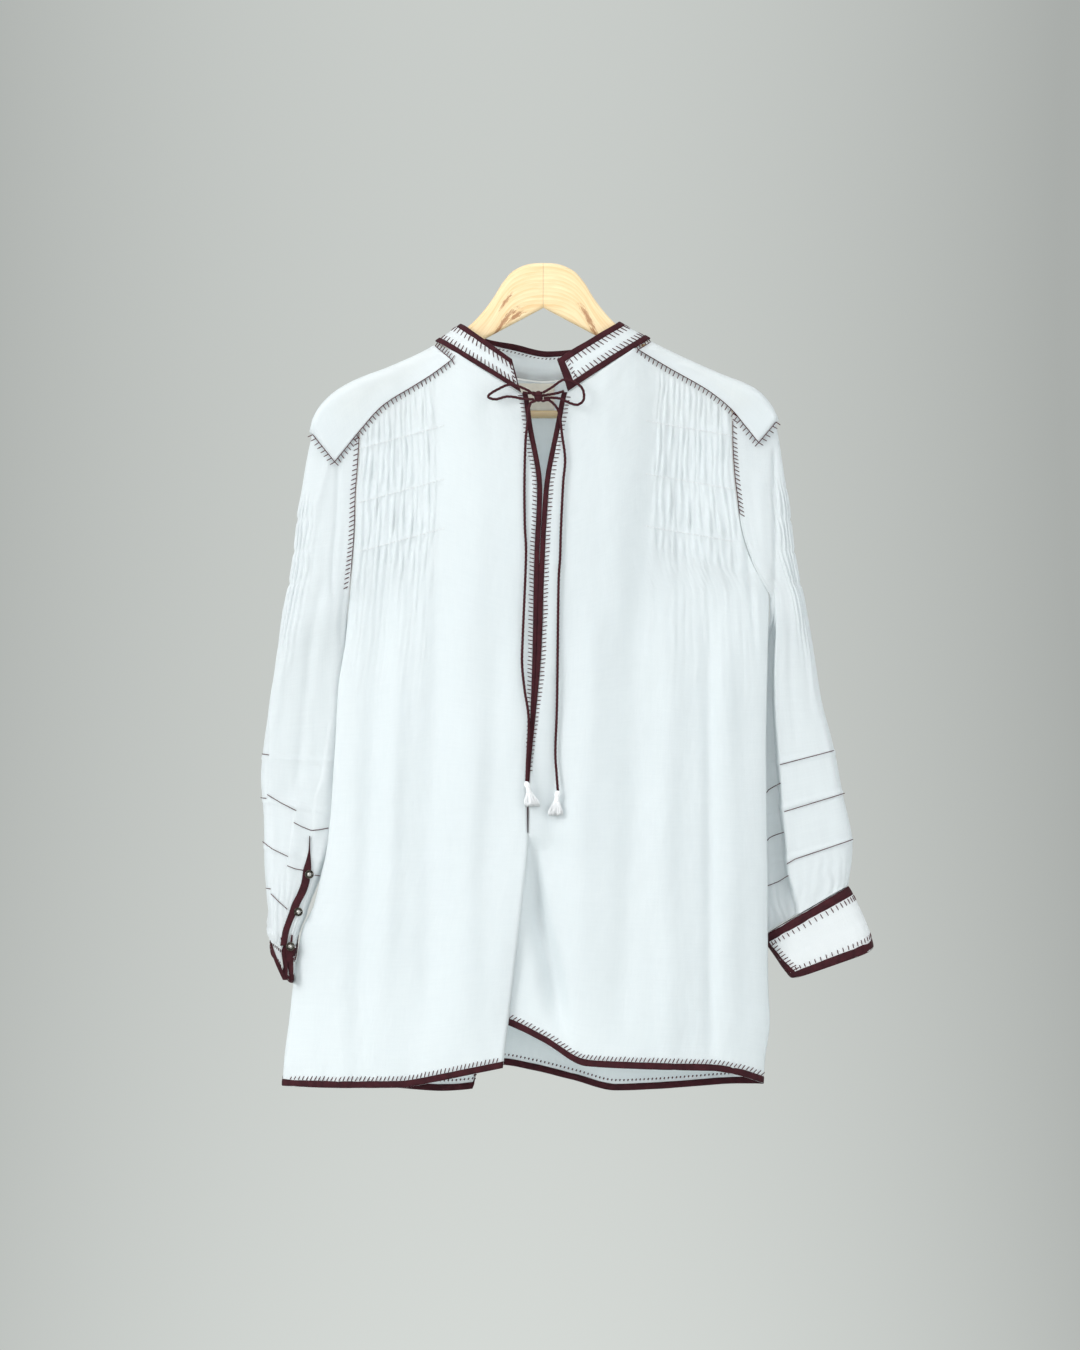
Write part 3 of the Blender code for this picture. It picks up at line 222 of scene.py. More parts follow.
SLEEVE_LEFT = table(
    "along in_x in_down out_x out_down middle half dip",
    (0.00, -183.0, 158, -229.0, 163, 0, 8, 0), (0.07, -185.8, 200, -236.9, 199, 0, 8, 0),
    (0.13, -188.8, 231, -242.9, 239, 0, 9, 0), (0.21, -188.9, 272, -246.9, 279, 0, 10, 0),
    (0.29, -192.2, 310, -251.9, 319, 0, 11, 0), (0.34, -196.8, 336, -258.5, 349, 0, 12, 0),
    (0.43, -196.5, 379, -267.9, 399, 8, 12, 0), (0.52, -194.5, 424, -273.9, 439, 14, 13, 0),
    (0.62, -193.5, 477, -278.9, 479, 18, 13, 0), (0.72, -197.0, 530, -282.9, 519, 20, 15, 0),
    (0.81, -206.0, 575, -280.5, 559, 21, 20, 0), (0.89, -222.5, 612, -278.9, 599, 22, 29, 4),
    (0.95, -235.0, 640, -277.0, 624, 23, 34, 11), (1.00, -246.0, 666, -273.5, 648, 24, 37, 19),
    (2.00, -250.0, 716, -272.8, 683, 13, 37, 7),
)
SLEEVE_RIGHT = table(
    "along in_x in_down out_x out_down middle half dip",
    (0.00, 189.4, 144, 229.4, 149, 0, 8, 0), (0.05, 188.2, 178, 235.6, 180, 0, 8, 0),
    (0.12, 190.9, 210, 240.9, 217, 0, 9, 0), (0.17, 193.5, 236, 244.9, 249, 0, 9, 0),
    (0.23, 198.0, 265, 247.9, 277, 0, 10, 0), (0.30, 209.4, 300, 252.0, 308, 0, 11, 0),
    (0.36, 228.2, 336, 259.2, 337, 1, 12, 0), (0.44, 223.5, 378, 267.9, 377, 8, 12, 0),
    (0.55, 217.0, 437, 277.9, 437, 15, 13, 0), (0.67, 214.5, 500, 290.5, 487, 18, 14, 0),
    (0.78, 214.5, 557, 301.2, 535, 19, 15, 0), (0.88, 215.5, 607, 309.0, 580, 19, 15, 0),
    (0.95, 217.5, 642, 307.8, 605, 18, 14, 0), (1.00, 221.5, 671, 304.5, 622.5, 16, 12, 0),
    (1.15, 223.6, 680, 309.3, 631.5, 15, 12, 0), (1.40, 230.6, 691, 317.8, 648.5, 15, 13, 1),
    (1.70, 239.0, 703, 325.4, 667.0, 14, 13, 3), (2.00, 247.5, 713.5, 330.0, 684.6, 14, 13, 4),
)
RIGHT_STEP = table(
    "along across amount", (0.36, 0.12, 0.0), (0.46, 0.20, 1.0), (0.67, 0.28, 1.0),
    (0.90, 0.31, 1.0), (1.0, 0.42, 0.7), (1.3, 0.42, 0.0),
)
# Creases down the fronts of the sleeves: height, width (0 for a folded edge), places across and down.
SLEEVE_CREASES = {
    "left": (
        (1.1, 0, ((-274.0, 450), (-275.5, 532))), (1.1, 0, ((-247.8, 540), (-255.5, 597), (-256.5, 645))),
        (1.0, 0, ((-214.0, 460), (-221.7, 516), (-228.3, 533), (-232.0, 575))),
        (-1.6, 3, ((-205.0, 190), (-207.0, 260), (-212.0, 330))),
        (1.4, 4, ((-212.0, 185), (-226.0, 240), (-236.0, 310))),
        (-1.4, 5, ((-225.0, 330), (-238.0, 430), (-246.0, 520))),
    ),
    "right": (
        (-2.6, 2.5, ((230.0, 190), (231.5, 297), (229.0, 345), (228.5, 380))),
        (1.8, 7, ((216.0, 215), (219.0, 290), (222.0, 335))),
        (-1.0, 4, ((243.0, 330), (248.0, 420), (252.0, 480))),
    ),
}
# Shirring at the heads of the sleeves: where it starts round the sleeve and ends along it,
# its gathers all round, and the sleeve's length. Then the depths of its rows.
SLEEVE_SHIRRING = {
    "left": dict(start=0.30, end=0.33, gathers=26, length=500.0),
    "right": dict(start=0.28, end=0.36, gathers=30, length=540.0),
}
SLEEVE_SHIRRING_ROWS = (192, 225, 257, 289, 321)
# Tucks round a sleeve: how far along it each one lies, then the doubled cloth under them.
TUCKS = {"left": (0.655, 0.757, 0.85, 0.955), "right": (0.67, 0.762, 0.868)}
TUCK_BAND = 6.0
TUCK_HEIGHT = 0.75
# Tucks as they run over the fronts of the folded sleeves: places across and down.
TUCK_LINES = {
    "left": (
        ((-281.8, 491.0), (-274.6, 492.0)), ((-283.1, 534.8), (-277.5, 535.4)),
        ((-276.5, 531.6), (-262.3, 540.1), (-247.2, 547.7)),
        ((-249.7, 559.4), (-241.6, 563.7), (-232.1, 567.5), (-223.6, 566.6), (-215.1, 565.0)),
        ((-281.0, 578.8), (-270.8, 586.0), (-255.3, 593.4)),
        ((-256.1, 602.4), (-249.1, 605.3), (-239.7, 607.2)), ((-231.2, 611.9), (-223.6, 612.8)),
        ((-277.5, 625.1), (-272.7, 625.7)), ((-272.3, 630.4), (-265.2, 637.4), (-255.7, 645.9)),
    ),
    "right": (
        ((236.5, 501.7), (290.7, 487.5)), ((240.7, 548.7), (301.5, 530.3)),
        ((243.2, 601.2), (251.5, 596.2), (309.8, 576.5)),
        ((218.7, 536.7), (225.7, 527.0), (237.0, 520.3)), ((218.7, 584.0), (227.3, 574.5), (240.2, 569.5)),
        ((218.7, 625.7), (236.5, 618.7), (244.8, 612.8)),
    ),
}

STRAP_LEFT = table(
    "along top_x front_x front_down back_x back_down",
    (0.0, -109.0, -91.5, 97.8, -93.5, 97.2), (0.22, -130.0, -112.0, 112.5, -118.0, 113.5),
    (0.44, -152.0, -132.0, 124.8, -140.0, 127.0), (0.62, -172.0, -160.6, 143.0, -163.0, 132.0),
    (0.76, -192.0, -183.1, 167.6, -189.0, 131.0), (0.88, -212.0, -196.0, 183.6, -210.0, 144.0),
    (1.0, -233.6, -208.6, 199.2, -232.0, 176.0),
)
STRAP_RIGHT = table(
    "along top_x front_x front_down back_x back_down",
    (0.0, 107.6, 94.5, 87.4, 94.5, 88.0), (0.22, 126.0, 110.0, 96.4, 110.0, 97.0),
    (0.44, 148.0, 127.1, 106.4, 130.0, 107.0), (0.62, 170.0, 165.9, 128.8, 160.0, 124.0),
    (0.76, 194.0, 188.3, 147.2, 190.0, 138.0), (0.88, 214.0, 200.0, 161.5, 212.0, 150.0),
    (1.0, 234.6, 214.9, 179.9, 230.0, 170.0),
)

COLLAR = table(
    "around neck_x neck_down neck_y top_x top_down top_y",
    (0.00, -22.5, 130.8, -30.0, -31.6, 97.0, -27.0), (0.07, -43.5, 117.6, -30.0, -46.5, 86.3, -27.0),
    (0.14, -65.5, 104.2, -27.0, -58.5, 77.5, -23.0), (0.21, -87.5, 90.6, -18.0, -70.5, 68.8, -15.0),
    (0.255, -102.5, 81.8, -8.0, -79.0, 62.6, -7.0), (0.28, -107.4, 79.4, 0.0, -82.3, 60.9, 0.0),
    (0.305, -100.0, 84.0, 9.0, -77.5, 64.4, 8.0), (0.37, -73.5, 95.4, 21.0, -53.7, 76.0, 20.0),
    (0.44, -43.5, 109.4, 26.0, -29.2, 80.2, 24.0), (0.52, 0.0, 116.9, 28.0, 4.0, 87.2, 26.0),
    (0.60, 43.5, 109.4, 26.0, 36.0, 84.6, 24.0), (0.67, 73.5, 95.4, 21.0, 57.0, 73.5, 16.0),
    (0.71, 98.0, 81.6, 9.0, 71.0, 61.8, 7.0), (0.73, 106.2, 76.8, 0.0, 75.0, 59.2, 0.0),
    (0.76, 101.5, 79.8, -8.0, 71.5, 61.6, -7.0), (0.82, 86.5, 89.0, -18.0, 59.5, 68.6, -15.0),
    (0.88, 64.5, 103.0, -27.0, 43.5, 78.6, -23.0), (0.94, 44.5, 116.0, -30.0, 27.5, 88.0, -27.0),
    (1.00, 24.4, 129.4, -30.0, 13.4, 97.6, -27.0),
)
NECK_BINDING_SHARE = 0.19
TOP_BINDING_SHARE = 0.20

# Finishes: procedural, on the piece's own UV map (in centimetres) or on Object coordinates


class Finish:
    """A material and short ways to add nodes to it."""

    def __init__(self, name, colour, roughness, metallic=0.0):
        self.made = bpy.data.materials.new(name)
        self.made.use_nodes = True
        self.tree = self.made.node_tree
        self.surface = self.tree.nodes["Principled BSDF"]
        self.surface.inputs["Base Color"].default_value = (*colour, 1)
        self.surface.inputs["Roughness"].default_value = roughness
        self.surface.inputs["Metallic"].default_value = metallic
        self.colour = colour

    def add(self, kind, wires=None, **settings):
        """A node of a kind, with its own settings, and its inputs set or wired by name."""
        node = self.tree.nodes.new(kind)
        for key, value in settings.items():
            setattr(node, key, value)
        for key, value in (wires or {}).items():
            if isinstance(value, bpy.types.NodeSocket):
                self.tree.links.new(value, node.inputs[key])
            else:
                node.inputs[key].default_value = value
        return node

    def place(self, source="UV", scale=(1, 1, 1), turn=(0, 0, 0)):
        """Where a point lies: its coordinates, turned and scaled."""
        where = self.add("ShaderNodeTexCoord").outputs[source]
        return self.add("ShaderNodeMapping", {"Vector": where, "Scale": scale, "Rotation": turn}).outputs[0]

    def noise(self, where, scale, detail=3.0, roughness=0.5):
        """Cloudy unevenness from 0 to 1."""
        return self.add(
            "ShaderNodeTexNoise",
            {"Vector": where, "Scale": scale, "Detail": detail, "Roughness": roughness},
        ).outputs["Fac"]

    def between(self, value, low, high, to_low=0.0, to_high=1.0):
        """A value moved in proportion from one range to another, and held at its ends."""
        return self.add(
            "ShaderNodeMapRange",
            {"Value": value, "From Min": low, "From Max": high, "To Min": to_low, "To Max": to_high},
        ).outputs[0]

    def sum(self, kind, a, b):
        """Two values put together by one step of arithmetic."""
        return self.add("ShaderNodeMath", {0: a, 1: b}, operation=kind).outputs[0]

    def tint(self, share, under, over):
        """A colour between two, by a share; each is a colour or the output of a node."""
        node = self.add("ShaderNodeMix", {"Factor": share}, data_type="RGBA")
        for at, value in ((6, under), (7, over)):
            if isinstance(value, bpy.types.NodeSocket):
                self.tree.links.new(value, node.inputs[at])
            else:
                node.inputs[at].default_value = (*value, 1)
        return node.outputs[2]

    def wear(self, colour=None, roughness=None, height=None, distance=0.0003, strength=0.5):
        """Wire colour, roughness and a bump from a height."""
        links = self.tree.links
        if colour is not None:
            links.new(colour, self.surface.inputs["Base Color"])
        if roughness is not None:
            links.new(roughness, self.surface.inputs["Roughness"])
        if height is not None:
            bump = self.add("ShaderNodeBump", {"Height": height, "Distance": distance, "Strength": strength})
            links.new(bump.outputs[0], self.surface.inputs["Normal"])
        return self.made

    def weave(self, where, pitch):
        """Height of a plain weave: two crossed bands of threads."""
        warp, weft = (
            self.add(
                "ShaderNodeTexWave",
                {"Vector": where, "Scale": 0.314 / pitch, "Distortion": 0.6, "Detail": 1.0},
                bands_direction=axis,
            ).outputs["Fac"]
            for axis in ("X", "Y")
        )
        return self.sum("MULTIPLY", warp, weft)


# Pitch of the weave in centimetres, and how much of the light comes through the cloth
WEAVE_PITCH = 0.09
THROUGH_CLOTH = 0.4


def cotton(name, light, shade, sheen=0.15):
    """Thin plain-woven cotton: crossed threads, slubs, and a slow unevenness of tone. Some
    of the light that falls on it comes through."""
    cloth = Finish(name, light, 0.9)
    weave = cloth.weave(cloth.place("UV"), WEAVE_PITCH)
    slub = cloth.noise(cloth.place("UV", (0.14, 2.6, 1)), 2.2, 3.0)
    warp = cloth.noise(cloth.place("UV", (2.6, 0.14, 1)), 2.2, 3.0)
    threads = cloth.sum("ADD", slub, warp)
    slow = cloth.noise(cloth.place("Object"), 7.0, 4.0)
    share = cloth.sum(
        "ADD", cloth.between(threads, 0.75, 1.25, 0.0, 0.5), cloth.between(slow, 0.3, 0.7, 0.0, 0.5)
    )
    colour = cloth.tint(share, shade, light)
    height = cloth.sum("ADD", weave, cloth.sum("MULTIPLY", threads, 1.4))
    cloth.surface.inputs["Sheen Weight"].default_value = sheen
    cloth.surface.inputs["Sheen Roughness"].default_value = 0.5
    cloth.surface.inputs["Specular IOR Level"].default_value = 0.25
    cloth.wear(colour, None, height, 0.0003, 0.5)
    through = cloth.add("ShaderNodeBsdfTranslucent", {"Color": colour}).outputs[0]
    face = cloth.surface.outputs[0]
    both = cloth.add("ShaderNodeMixShader", {0: THROUGH_CLOTH, 1: face, 2: through}).outputs[0]
    cloth.tree.links.new(both, cloth.tree.nodes["Material Output"].inputs["Surface"])
    return cloth.made


def folded_tape(name, dark, light):
    """Dark folded tape: a tight twill, lighter along its raised ribs and in cloudy patches."""
    twill = Finish(name, dark, 0.75)
    where = twill.place("UV", (1, 1, 1), (0, 0, 0.8))
    ribs = twill.add(
        "ShaderNodeTexWave", {"Vector": where, "Scale": 4.5, "Distortion": 1.0, "Detail": 2.0}
    ).outputs["Fac"]
    cloudy = twill.noise(twill.place("Object"), 160.0, 4.0)
    share = twill.sum(
        "ADD", twill.between(ribs, 0.2, 1.0, 0.0, 0.45), twill.between(cloudy, 0.35, 0.7, 0.0, 0.55)
    )
    twill.surface.inputs["Sheen Weight"].default_value = 0.02
    twill.surface.inputs["Specular IOR Level"].default_value = 0.15
    return twill.wear(twill.tint(share, dark, light), None, twill.sum("ADD", ribs, cloudy), 0.0003, 0.5)


def spun_thread(name, dark, light, sheen=0.1):
    """Twisted thread or cord: slanting plies."""
    spun = Finish(name, dark, 0.8)
    where = spun.place("UV", (1, 1, 1), (0, 0, 0.6))
    plies = spun.add("ShaderNodeTexWave", {"Vector": where, "Scale": 5.0, "Distortion": 0.4}).outputs["Fac"]
    fuzz = spun.noise(spun.place("Object"), 900.0, 2.0)
    share = spun.sum("ADD", spun.between(plies, 0, 1, 0, 0.6), spun.between(fuzz, 0.3, 0.7, 0, 0.4))
    spun.surface.inputs["Sheen Weight"].default_value = sheen
    spun.surface.inputs["Specular IOR Level"].default_value = 0.15
    return spun.wear(spun.tint(share, dark, light), None, plies, 0.0004, 0.6)


# Knots and streaks of the hanger: place along the arm and across it, and size, in centimetres.
WOOD_KNOTS = (
    ((-4.2, 1.9), (0.9, 0.30)), ((-4.9, 3.7), (2.3, 0.42)), ((-3.0, 4.3), (1.0, 0.3)),
    ((5.2, 2.6), (1.3, 0.55)), ((6.3, 3.1), (1.0, 0.4)), ((12.5, 1.4), (1.0, 0.22)),
    ((-14.0, 1.2), (1.1, 0.2)),
)


PINE_DARK = (0.70, 0.46, 0.20)
PINE_LIGHT = (0.90, 0.74, 0.47)
PINE_KNOT = (0.33, 0.13, 0.04)


def pine_wood(name, tone):
    """Pale pine along each arm: growth rings as long bands, fine grain, and brown knots.

    A knot is an oval: 1 where a point's distance from the knot's centre, measured in the
    knot's own sizes and made ragged by noise, is small, and 0 past its edge."""
    wood = Finish(name, (0.78, 0.57, 0.33), 0.42)
    rings = wood.add(
        "ShaderNodeTexWave",
        {"Vector": wood.place("UV", (0.10, 1.0, 1)), "Scale": 0.75, "Distortion": 5.0, "Detail": 3.0,
         "Detail Scale": 0.7},
        bands_direction="Y", wave_profile="SAW",
    ).outputs["Fac"]
    grain = wood.noise(wood.place("UV", (0.35, 14.0, 1)), 3.0, 5.0, 0.6)
    patches = wood.noise(wood.place("UV", (0.12, 0.9, 1)), 1.6, 3.0)
    share = wood.sum("ADD", wood.between(rings, 0, 1, 0.0, 0.28), wood.between(grain, 0.3, 0.7, 0.0, 0.4))
    share = wood.sum("ADD", share, wood.between(patches, 0.35, 0.65, -0.05, 0.4))
    dark, light = (tuple(part * tone for part in shade) for shade in (PINE_DARK, PINE_LIGHT))
    colour = wood.tint(share, dark, light)
    streaks = wood.noise(wood.place("UV", (0.9, 4.0, 1)), 2.3, 4.0, 0.7)
    for centre, size in WOOD_KNOTS:
        from_centre = wood.add(
            "ShaderNodeVectorMath", {0: wood.place("UV"), 1: (*centre, 0)}, operation="SUBTRACT"
        ).outputs[0]
        scaled = wood.add(
            "ShaderNodeVectorMath", {0: from_centre, 1: (1 / size[0], 1 / size[1], 0)}, operation="MULTIPLY"
        ).outputs[0]
        reach = wood.add("ShaderNodeVectorMath", {0: scaled}, operation="LENGTH").outputs["Value"]
        ragged = wood.sum("ADD", reach, wood.between(streaks, 0.25, 0.75, -0.9, 0.9))
        knot = wood.between(ragged, 0.55, 1.0, 0.85, 0.0)
        colour = wood.tint(knot, colour, PINE_KNOT)
    rough = wood.between(grain, 0.3, 0.7, 0.36, 0.52)
    wood.surface.inputs["Coat Weight"].default_value = 0.2
    wood.surface.inputs["Coat Roughness"].default_value = 0.3
    return wood.wear(colour, rough, grain, 0.0002, 0.25)


def domed_metal(name, dark, light, metallic):
    """Old silver with a tone that varies in cloudy patches. On a button, a light copy on the dome is a
    painted highlight, and a dark copy past the dome is painted shade.
    """
    metal = Finish(name, light, 0.22, metallic)
    cloudy = metal.noise(metal.place("Object"), 420.0, 4.0)
    colour = metal.tint(metal.between(cloudy, 0.35, 0.7), dark, light)
    return metal.wear(colour, metal.between(cloudy, 0.3, 0.7, 0.18, 0.38), cloudy, 0.0001, 0.2)


def label_cloth():
    """A bare cream label, woven in fine ribs."""
    woven = Finish("label_finish", (0.82, 0.78, 0.68), 0.8)
    ribs = woven.add(
        "ShaderNodeTexWave", {"Vector": woven.place("UV"), "Scale": 5.0}, bands_direction="Y"
    ).outputs["Fac"]
    cloudy = woven.noise(woven.place("Object"), 120.0, 3.0)
    share = woven.sum("ADD", woven.between(ribs, 0, 1, 0, 0.5), woven.between(cloudy, 0.3, 0.7, 0, 0.5))
    return woven.wear(woven.tint(share, (0.78, 0.73, 0.62), (0.90, 0.87, 0.78)), None, ribs, 0.0003, 0.4)


WHITE = cotton("white_cotton_cloth", (0.885, 0.925, 0.935), (0.845, 0.89, 0.905))
SLEEVE_WHITE = cotton("sleeve_cotton_cloth", (0.875, 0.915, 0.925), (0.83, 0.87, 0.885))
CUFF_WHITE = cotton("cuff_cotton_cloth", (0.92, 0.945, 0.95), (0.89, 0.92, 0.93))
MAROON = folded_tape("maroon_tape", (0.026, 0.006, 0.009), (0.064, 0.013, 0.018))
MAROON_THREAD = spun_thread("maroon_thread", (0.050, 0.009, 0.013), (0.105, 0.022, 0.028), 0.0)
MAROON_CORD = spun_thread("maroon_cord_finish", (0.032, 0.007, 0.010), (0.075, 0.018, 0.024), 0.02)
WHITE_THREAD = spun_thread("white_thread_finish", (0.88, 0.90, 0.92), (0.97, 0.98, 0.985), 0.2)
PINE = pine_wood("pine_finish", 1.0)
DARK_PINE = pine_wood("bar_finish", 0.72)
# Light silver for each button's dome is a painted highlight; dark silver past the dome is painted shade.
SILVER_PAINTED_HIGHLIGHT = domed_metal("button_metal_painted_highlight", (0.30, 0.29, 0.26), (0.80, 0.80, 0.77), 0.75)
SILVER_PAINTED_SHADE = domed_metal("button_rim_metal_painted_shade", (0.030, 0.027, 0.020), (0.16, 0.145, 0.115), 0.8)
CREAM = label_cloth()

# Making pieces


def quads_of(rows, columns, joined_from=None, closed=False, left_out=None):
    """Quads between neighbouring points of a grid, as whole arrays of point numbers.

    From the row joined_from down, the last column is the first one again. closed joins the
    last row to the first."""
    index = np.arange(rows * columns).reshape(rows, columns)
    if joined_from is not None:
        index[joined_from:, -1] = index[joined_from:, 0]
    if closed:
        index = np.concatenate([index, index[:1]])
    quads = np.stack([index[:-1, :-1], index[1:, :-1], index[1:, 1:], index[:-1, 1:]], -1)
    if left_out is not None:
        return quads[~left_out]
    return quads.reshape(-1, 4)


def add_piece(name, place, quads, finish, cover=None, wall=None, clean=False, replaces=()):
    """A mesh from points in millimetres and quads of their numbers.

    cover is a place on the cloth in millimetres for each point, kept as a UV map in
    centimetres. wall gives it a thickness; clean merges its poles and turns it outwards."""
    used, quads = np.unique(np.asarray(quads), return_inverse=True)
    quads = quads.reshape(-1, 4)
    co = (np.asarray(place).reshape(-1, 3) * (MM, MM, -MM))[used]
    mesh = bpy.data.meshes.new(name)
    mesh.from_pydata(co.tolist(), [], quads.tolist())
    if cover is None:
        spread = np.asarray(place).reshape(-1, 3)[used]
        cover = np.stack([spread[:, 0], spread[:, 2]], -1)
    else:
        cover = np.asarray(cover).reshape(-1, 2)[used]
    flat = mesh.uv_layers.new(name="cloth")
    flat.data.foreach_set("uv", (cover[quads.ravel()] * 0.1).ravel())
    if clean:
        work = bmesh.new()
        work.from_mesh(mesh)
        bmesh.ops.remove_doubles(work, verts=work.verts, dist=1e-6)
        bmesh.ops.dissolve_degenerate(work, edges=work.edges, dist=1e-7)
        bmesh.ops.recalc_face_normals(work, faces=work.faces)
        work.to_mesh(mesh)
        work.free()
    mesh.materials.append(finish)
    mesh.shade_smooth()
    made = bpy.data.objects.new(name, mesh)
    bpy.context.collection.objects.link(made)
    if wall:
        thick = made.modifiers.new("wall", "SOLIDIFY")
        thick.thickness = wall * MM
        thick.offset = 0
    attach(made, "root")
    if replaces:
        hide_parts(*replaces)
    return made


LONGEST_STEP = 30.0


def lengths_over(grid, axis):
    """How far each point lies along an axis of a grid: the sum of the steps up to it, where
    a step over an opening counts no more than LONGEST_STEP."""
    step = np.minimum(np.linalg.norm(np.diff(grid, axis=axis), axis=-1), LONGEST_STEP)
    zero = np.zeros_like(step[:1]) if axis == 0 else np.zeros_like(step[:, :1])
    return np.concatenate([zero, np.cumsum(step, axis=axis)], axis=axis)


def cover_of(grid):
    """Place on the cloth: mean length along the rows, and along the columns."""
    across = lengths_over(grid, 1).mean(axis=0)
    down = lengths_over(grid, 0).mean(axis=1)
    return np.stack(np.meshgrid(across, down), -1)


def cloth(name, grid, finish, node, wall=CLOTH, joined_from=None, left_out=None, also=()):
    """A cloth wall through a grid of points."""
    quads = quads_of(*grid.shape[:2], joined_from=joined_from, left_out=left_out)
    return add_piece(
        name, grid, quads, finish, cover_of(grid), wall, replaces=(node, *also)
    )


def unit(v):
    """Each vector divided by its own length."""
    return v / np.maximum(np.linalg.norm(v, axis=-1, keepdims=True), 1e-9)


def directions(line):
    """Which way a line runs at each of its points: from its neighbour before to the one after."""
    return unit(np.gradient(line, axis=0))


def run_of(line):
    """How far along a line each of its points lies."""
    return np.concatenate([[0], np.cumsum(np.linalg.norm(np.diff(line, axis=0), axis=1))])


def round_ends(shape, first, last, shares):
    """A carried section closed at both ends: its first and last rings drawn in towards
    their middles by shares from 0 up."""
    caps = np.array(shares)[:, None, None]
    return np.concatenate([first + (shape[0] - first) * caps, shape, last + (shape[-1] - last) * caps[::-1]])


SECTION = np.linspace(0, 2 * math.pi, 17)
CAP_SHARES = (0.0, 0.55, 0.85)
PLY_DEPTH = 0.09


def tape(name, inner, outer, nodes, thickness=2.3, seed=1):
    """A folded tape round an edge: a rounded oblong section, as wide as the strip between
    its two edges, carried along them, with rounded ends.

    The section is a circle whose cosine and sine are each raised to a power under 1, which
    squares it. Its thickness and its place swell and sway by slow ripples."""
    middle, half = (inner + outer) / 2, (outer - inner) / 2
    normal = unit(np.cross(directions(middle), half))
    run = run_of(middle)
    wide = np.sign(np.cos(SECTION)) * np.abs(np.cos(SECTION)) ** 0.75
    high = np.sign(np.sin(SECTION)) * np.abs(np.sin(SECTION)) ** 0.55
    thick = thickness / 2 * (1 + 0.12 * ripple(run / 17, 0 * run, seed))[:, None, None]
    push = 0.25 * ripple(run / 31, 0 * run, seed + 7)[:, None, None]
    shape = middle[:, None] + half[:, None] * wide[:, None] + normal[:, None] * (thick * high[:, None] + push)
    shape = round_ends(shape, middle[0], middle[-1], CAP_SHARES)
    length = np.concatenate([[0, 0, 0], run, [run[-1]] * 3])
    width = 2 * np.linalg.norm(half, axis=1).mean() + thickness
    cover = np.stack(np.meshgrid(np.linspace(0, 2 * width, len(SECTION)), length), -1)
    quads = quads_of(*shape.shape[:2], joined_from=0)
    return add_piece(name, shape, quads, MAROON, cover, clean=True, replaces=nodes)


def resample(line, pitch):
    """Points a pitch apart along a line."""
    run = run_of(line)
    at = np.linspace(0, run[-1], max(3, int(round(run[-1] / pitch)) + 1))
    return np.stack([np.interp(at, run, line[:, i]) for i in range(3)], -1)


def smooth_curve(route, spacing):
    """Points along a smooth curve through a route's own points, evenly spaced: between two
    of them a cubic that leaves each one in the direction of its two neighbours."""
    line = np.array(route, dtype=float)
    ends = np.vstack([2 * line[0] - line[1], line, 2 * line[-1] - line[-2]])
    t = np.linspace(0, 1, 16, endpoint=False)[None, :, None]
    a, b, c, d = (ends[i : len(ends) - 3 + i, None, :] for i in range(4))
    fine = 0.5 * (2 * b + (c - a) * t + (2 * a - 5 * b + 4 * c - d) * t**2 + (3 * b - a - 3 * c + d) * t**3)
    return resample(np.vstack([fine.reshape(-1, 3), line[-1]]), spacing)


def tube(name, line, radius, finish, lobes=0, twist=0.0, sides=10, replaces=()):
    """A circle carried along a line. lobes give it the plies of a twisted cord: a cosine of
    that many waves round the circle, turned by twist radians a millimetre."""
    along = directions(line)
    helper = np.where(np.abs(along[:, 1:2]) > 0.9, (1.0, 0.0, 0.0), (0.0, 1.0, 0.0))
    side = unit(np.cross(along, helper))
    other = np.cross(along, side)
    run = run_of(line)
    turn = np.linspace(0, 2 * math.pi, sides + 1)
    plies = PLY_DEPTH if lobes else 0.0
    size = radius * (1 + plies * np.cos(lobes * turn[None] + twist * run[:, None]))
    ring = np.cos(turn)[None, :, None] * side[:, None] + np.sin(turn)[None, :, None] * other[:, None]
    shape = round_ends(line[:, None] + ring * size[..., None], line[0], line[-1], CAP_SHARES)
    length = np.concatenate([[0, 0, 0], run, [run[-1]] * 3])
    cover = np.stack(np.meshgrid(turn * float(np.mean(size)), length), -1)
    quads = quads_of(*shape.shape[:2], joined_from=0)
    return add_piece(name, shape, quads, finish, cover, clean=True, replaces=replaces)


def repeated(quads, count, corners):
    """The same quads again for each of many like shapes of so many corners."""
    return (quads[None] + (np.arange(count) * corners)[:, None, None]).reshape(-1, 4)


def stitches(name, starts, ends, normals, finish=MAROON_THREAD, radius=THREAD, lift=0.2):
    """Short stitches: each is a thread of five rings that rises off the cloth in an arc
    from its start to its end."""
    share = np.array([0.0, 0.06, 0.5, 0.94, 1.0])
    thick = radius * np.array([0.0, 0.85, 1.0, 0.8, 0.0])
    rise = np.array([0.0, 0.25, 1.0, 0.25, 0.0]) * lift
    normals = unit(np.broadcast_to(np.asarray(normals, float), starts.shape))
    line = starts[:, None] + (ends - starts)[:, None] * share[:, None]
    line = line + normals[:, None] * rise[:, None]
    side = unit(np.cross(ends - starts, normals))
    turn = np.linspace(0, 2 * math.pi, 6)
    ring = side[:, None] * np.cos(turn)[None, :, None] + normals[:, None] * np.sin(turn)[None, :, None]
    shape = line[:, :, None] + ring[:, None] * thick[None, :, None, None]
    quads = repeated(quads_of(5, 6, joined_from=0), len(starts), 5 * 6)
    cover = np.stack(np.broadcast_arrays(
        (turn * radius)[None, None, :], (share * 4)[None, :, None] + np.zeros((len(starts), 1, 1))
    ), -1)
    return add_piece(name, shape, quads, finish, cover, clean=True)


def merge(name, pieces):
    """Several pieces of one finish made one."""
    first, rest = pieces[0], pieces[1:]
    work = bmesh.new()
    for piece in pieces:
        work.from_mesh(piece.data)
    work.to_mesh(first.data)
    work.free()
    first.name = name
    first.data.name = name
    for piece in rest:
        bpy.data.objects.remove(piece, do_unlink=True)
    return first


# The shape of the shirt


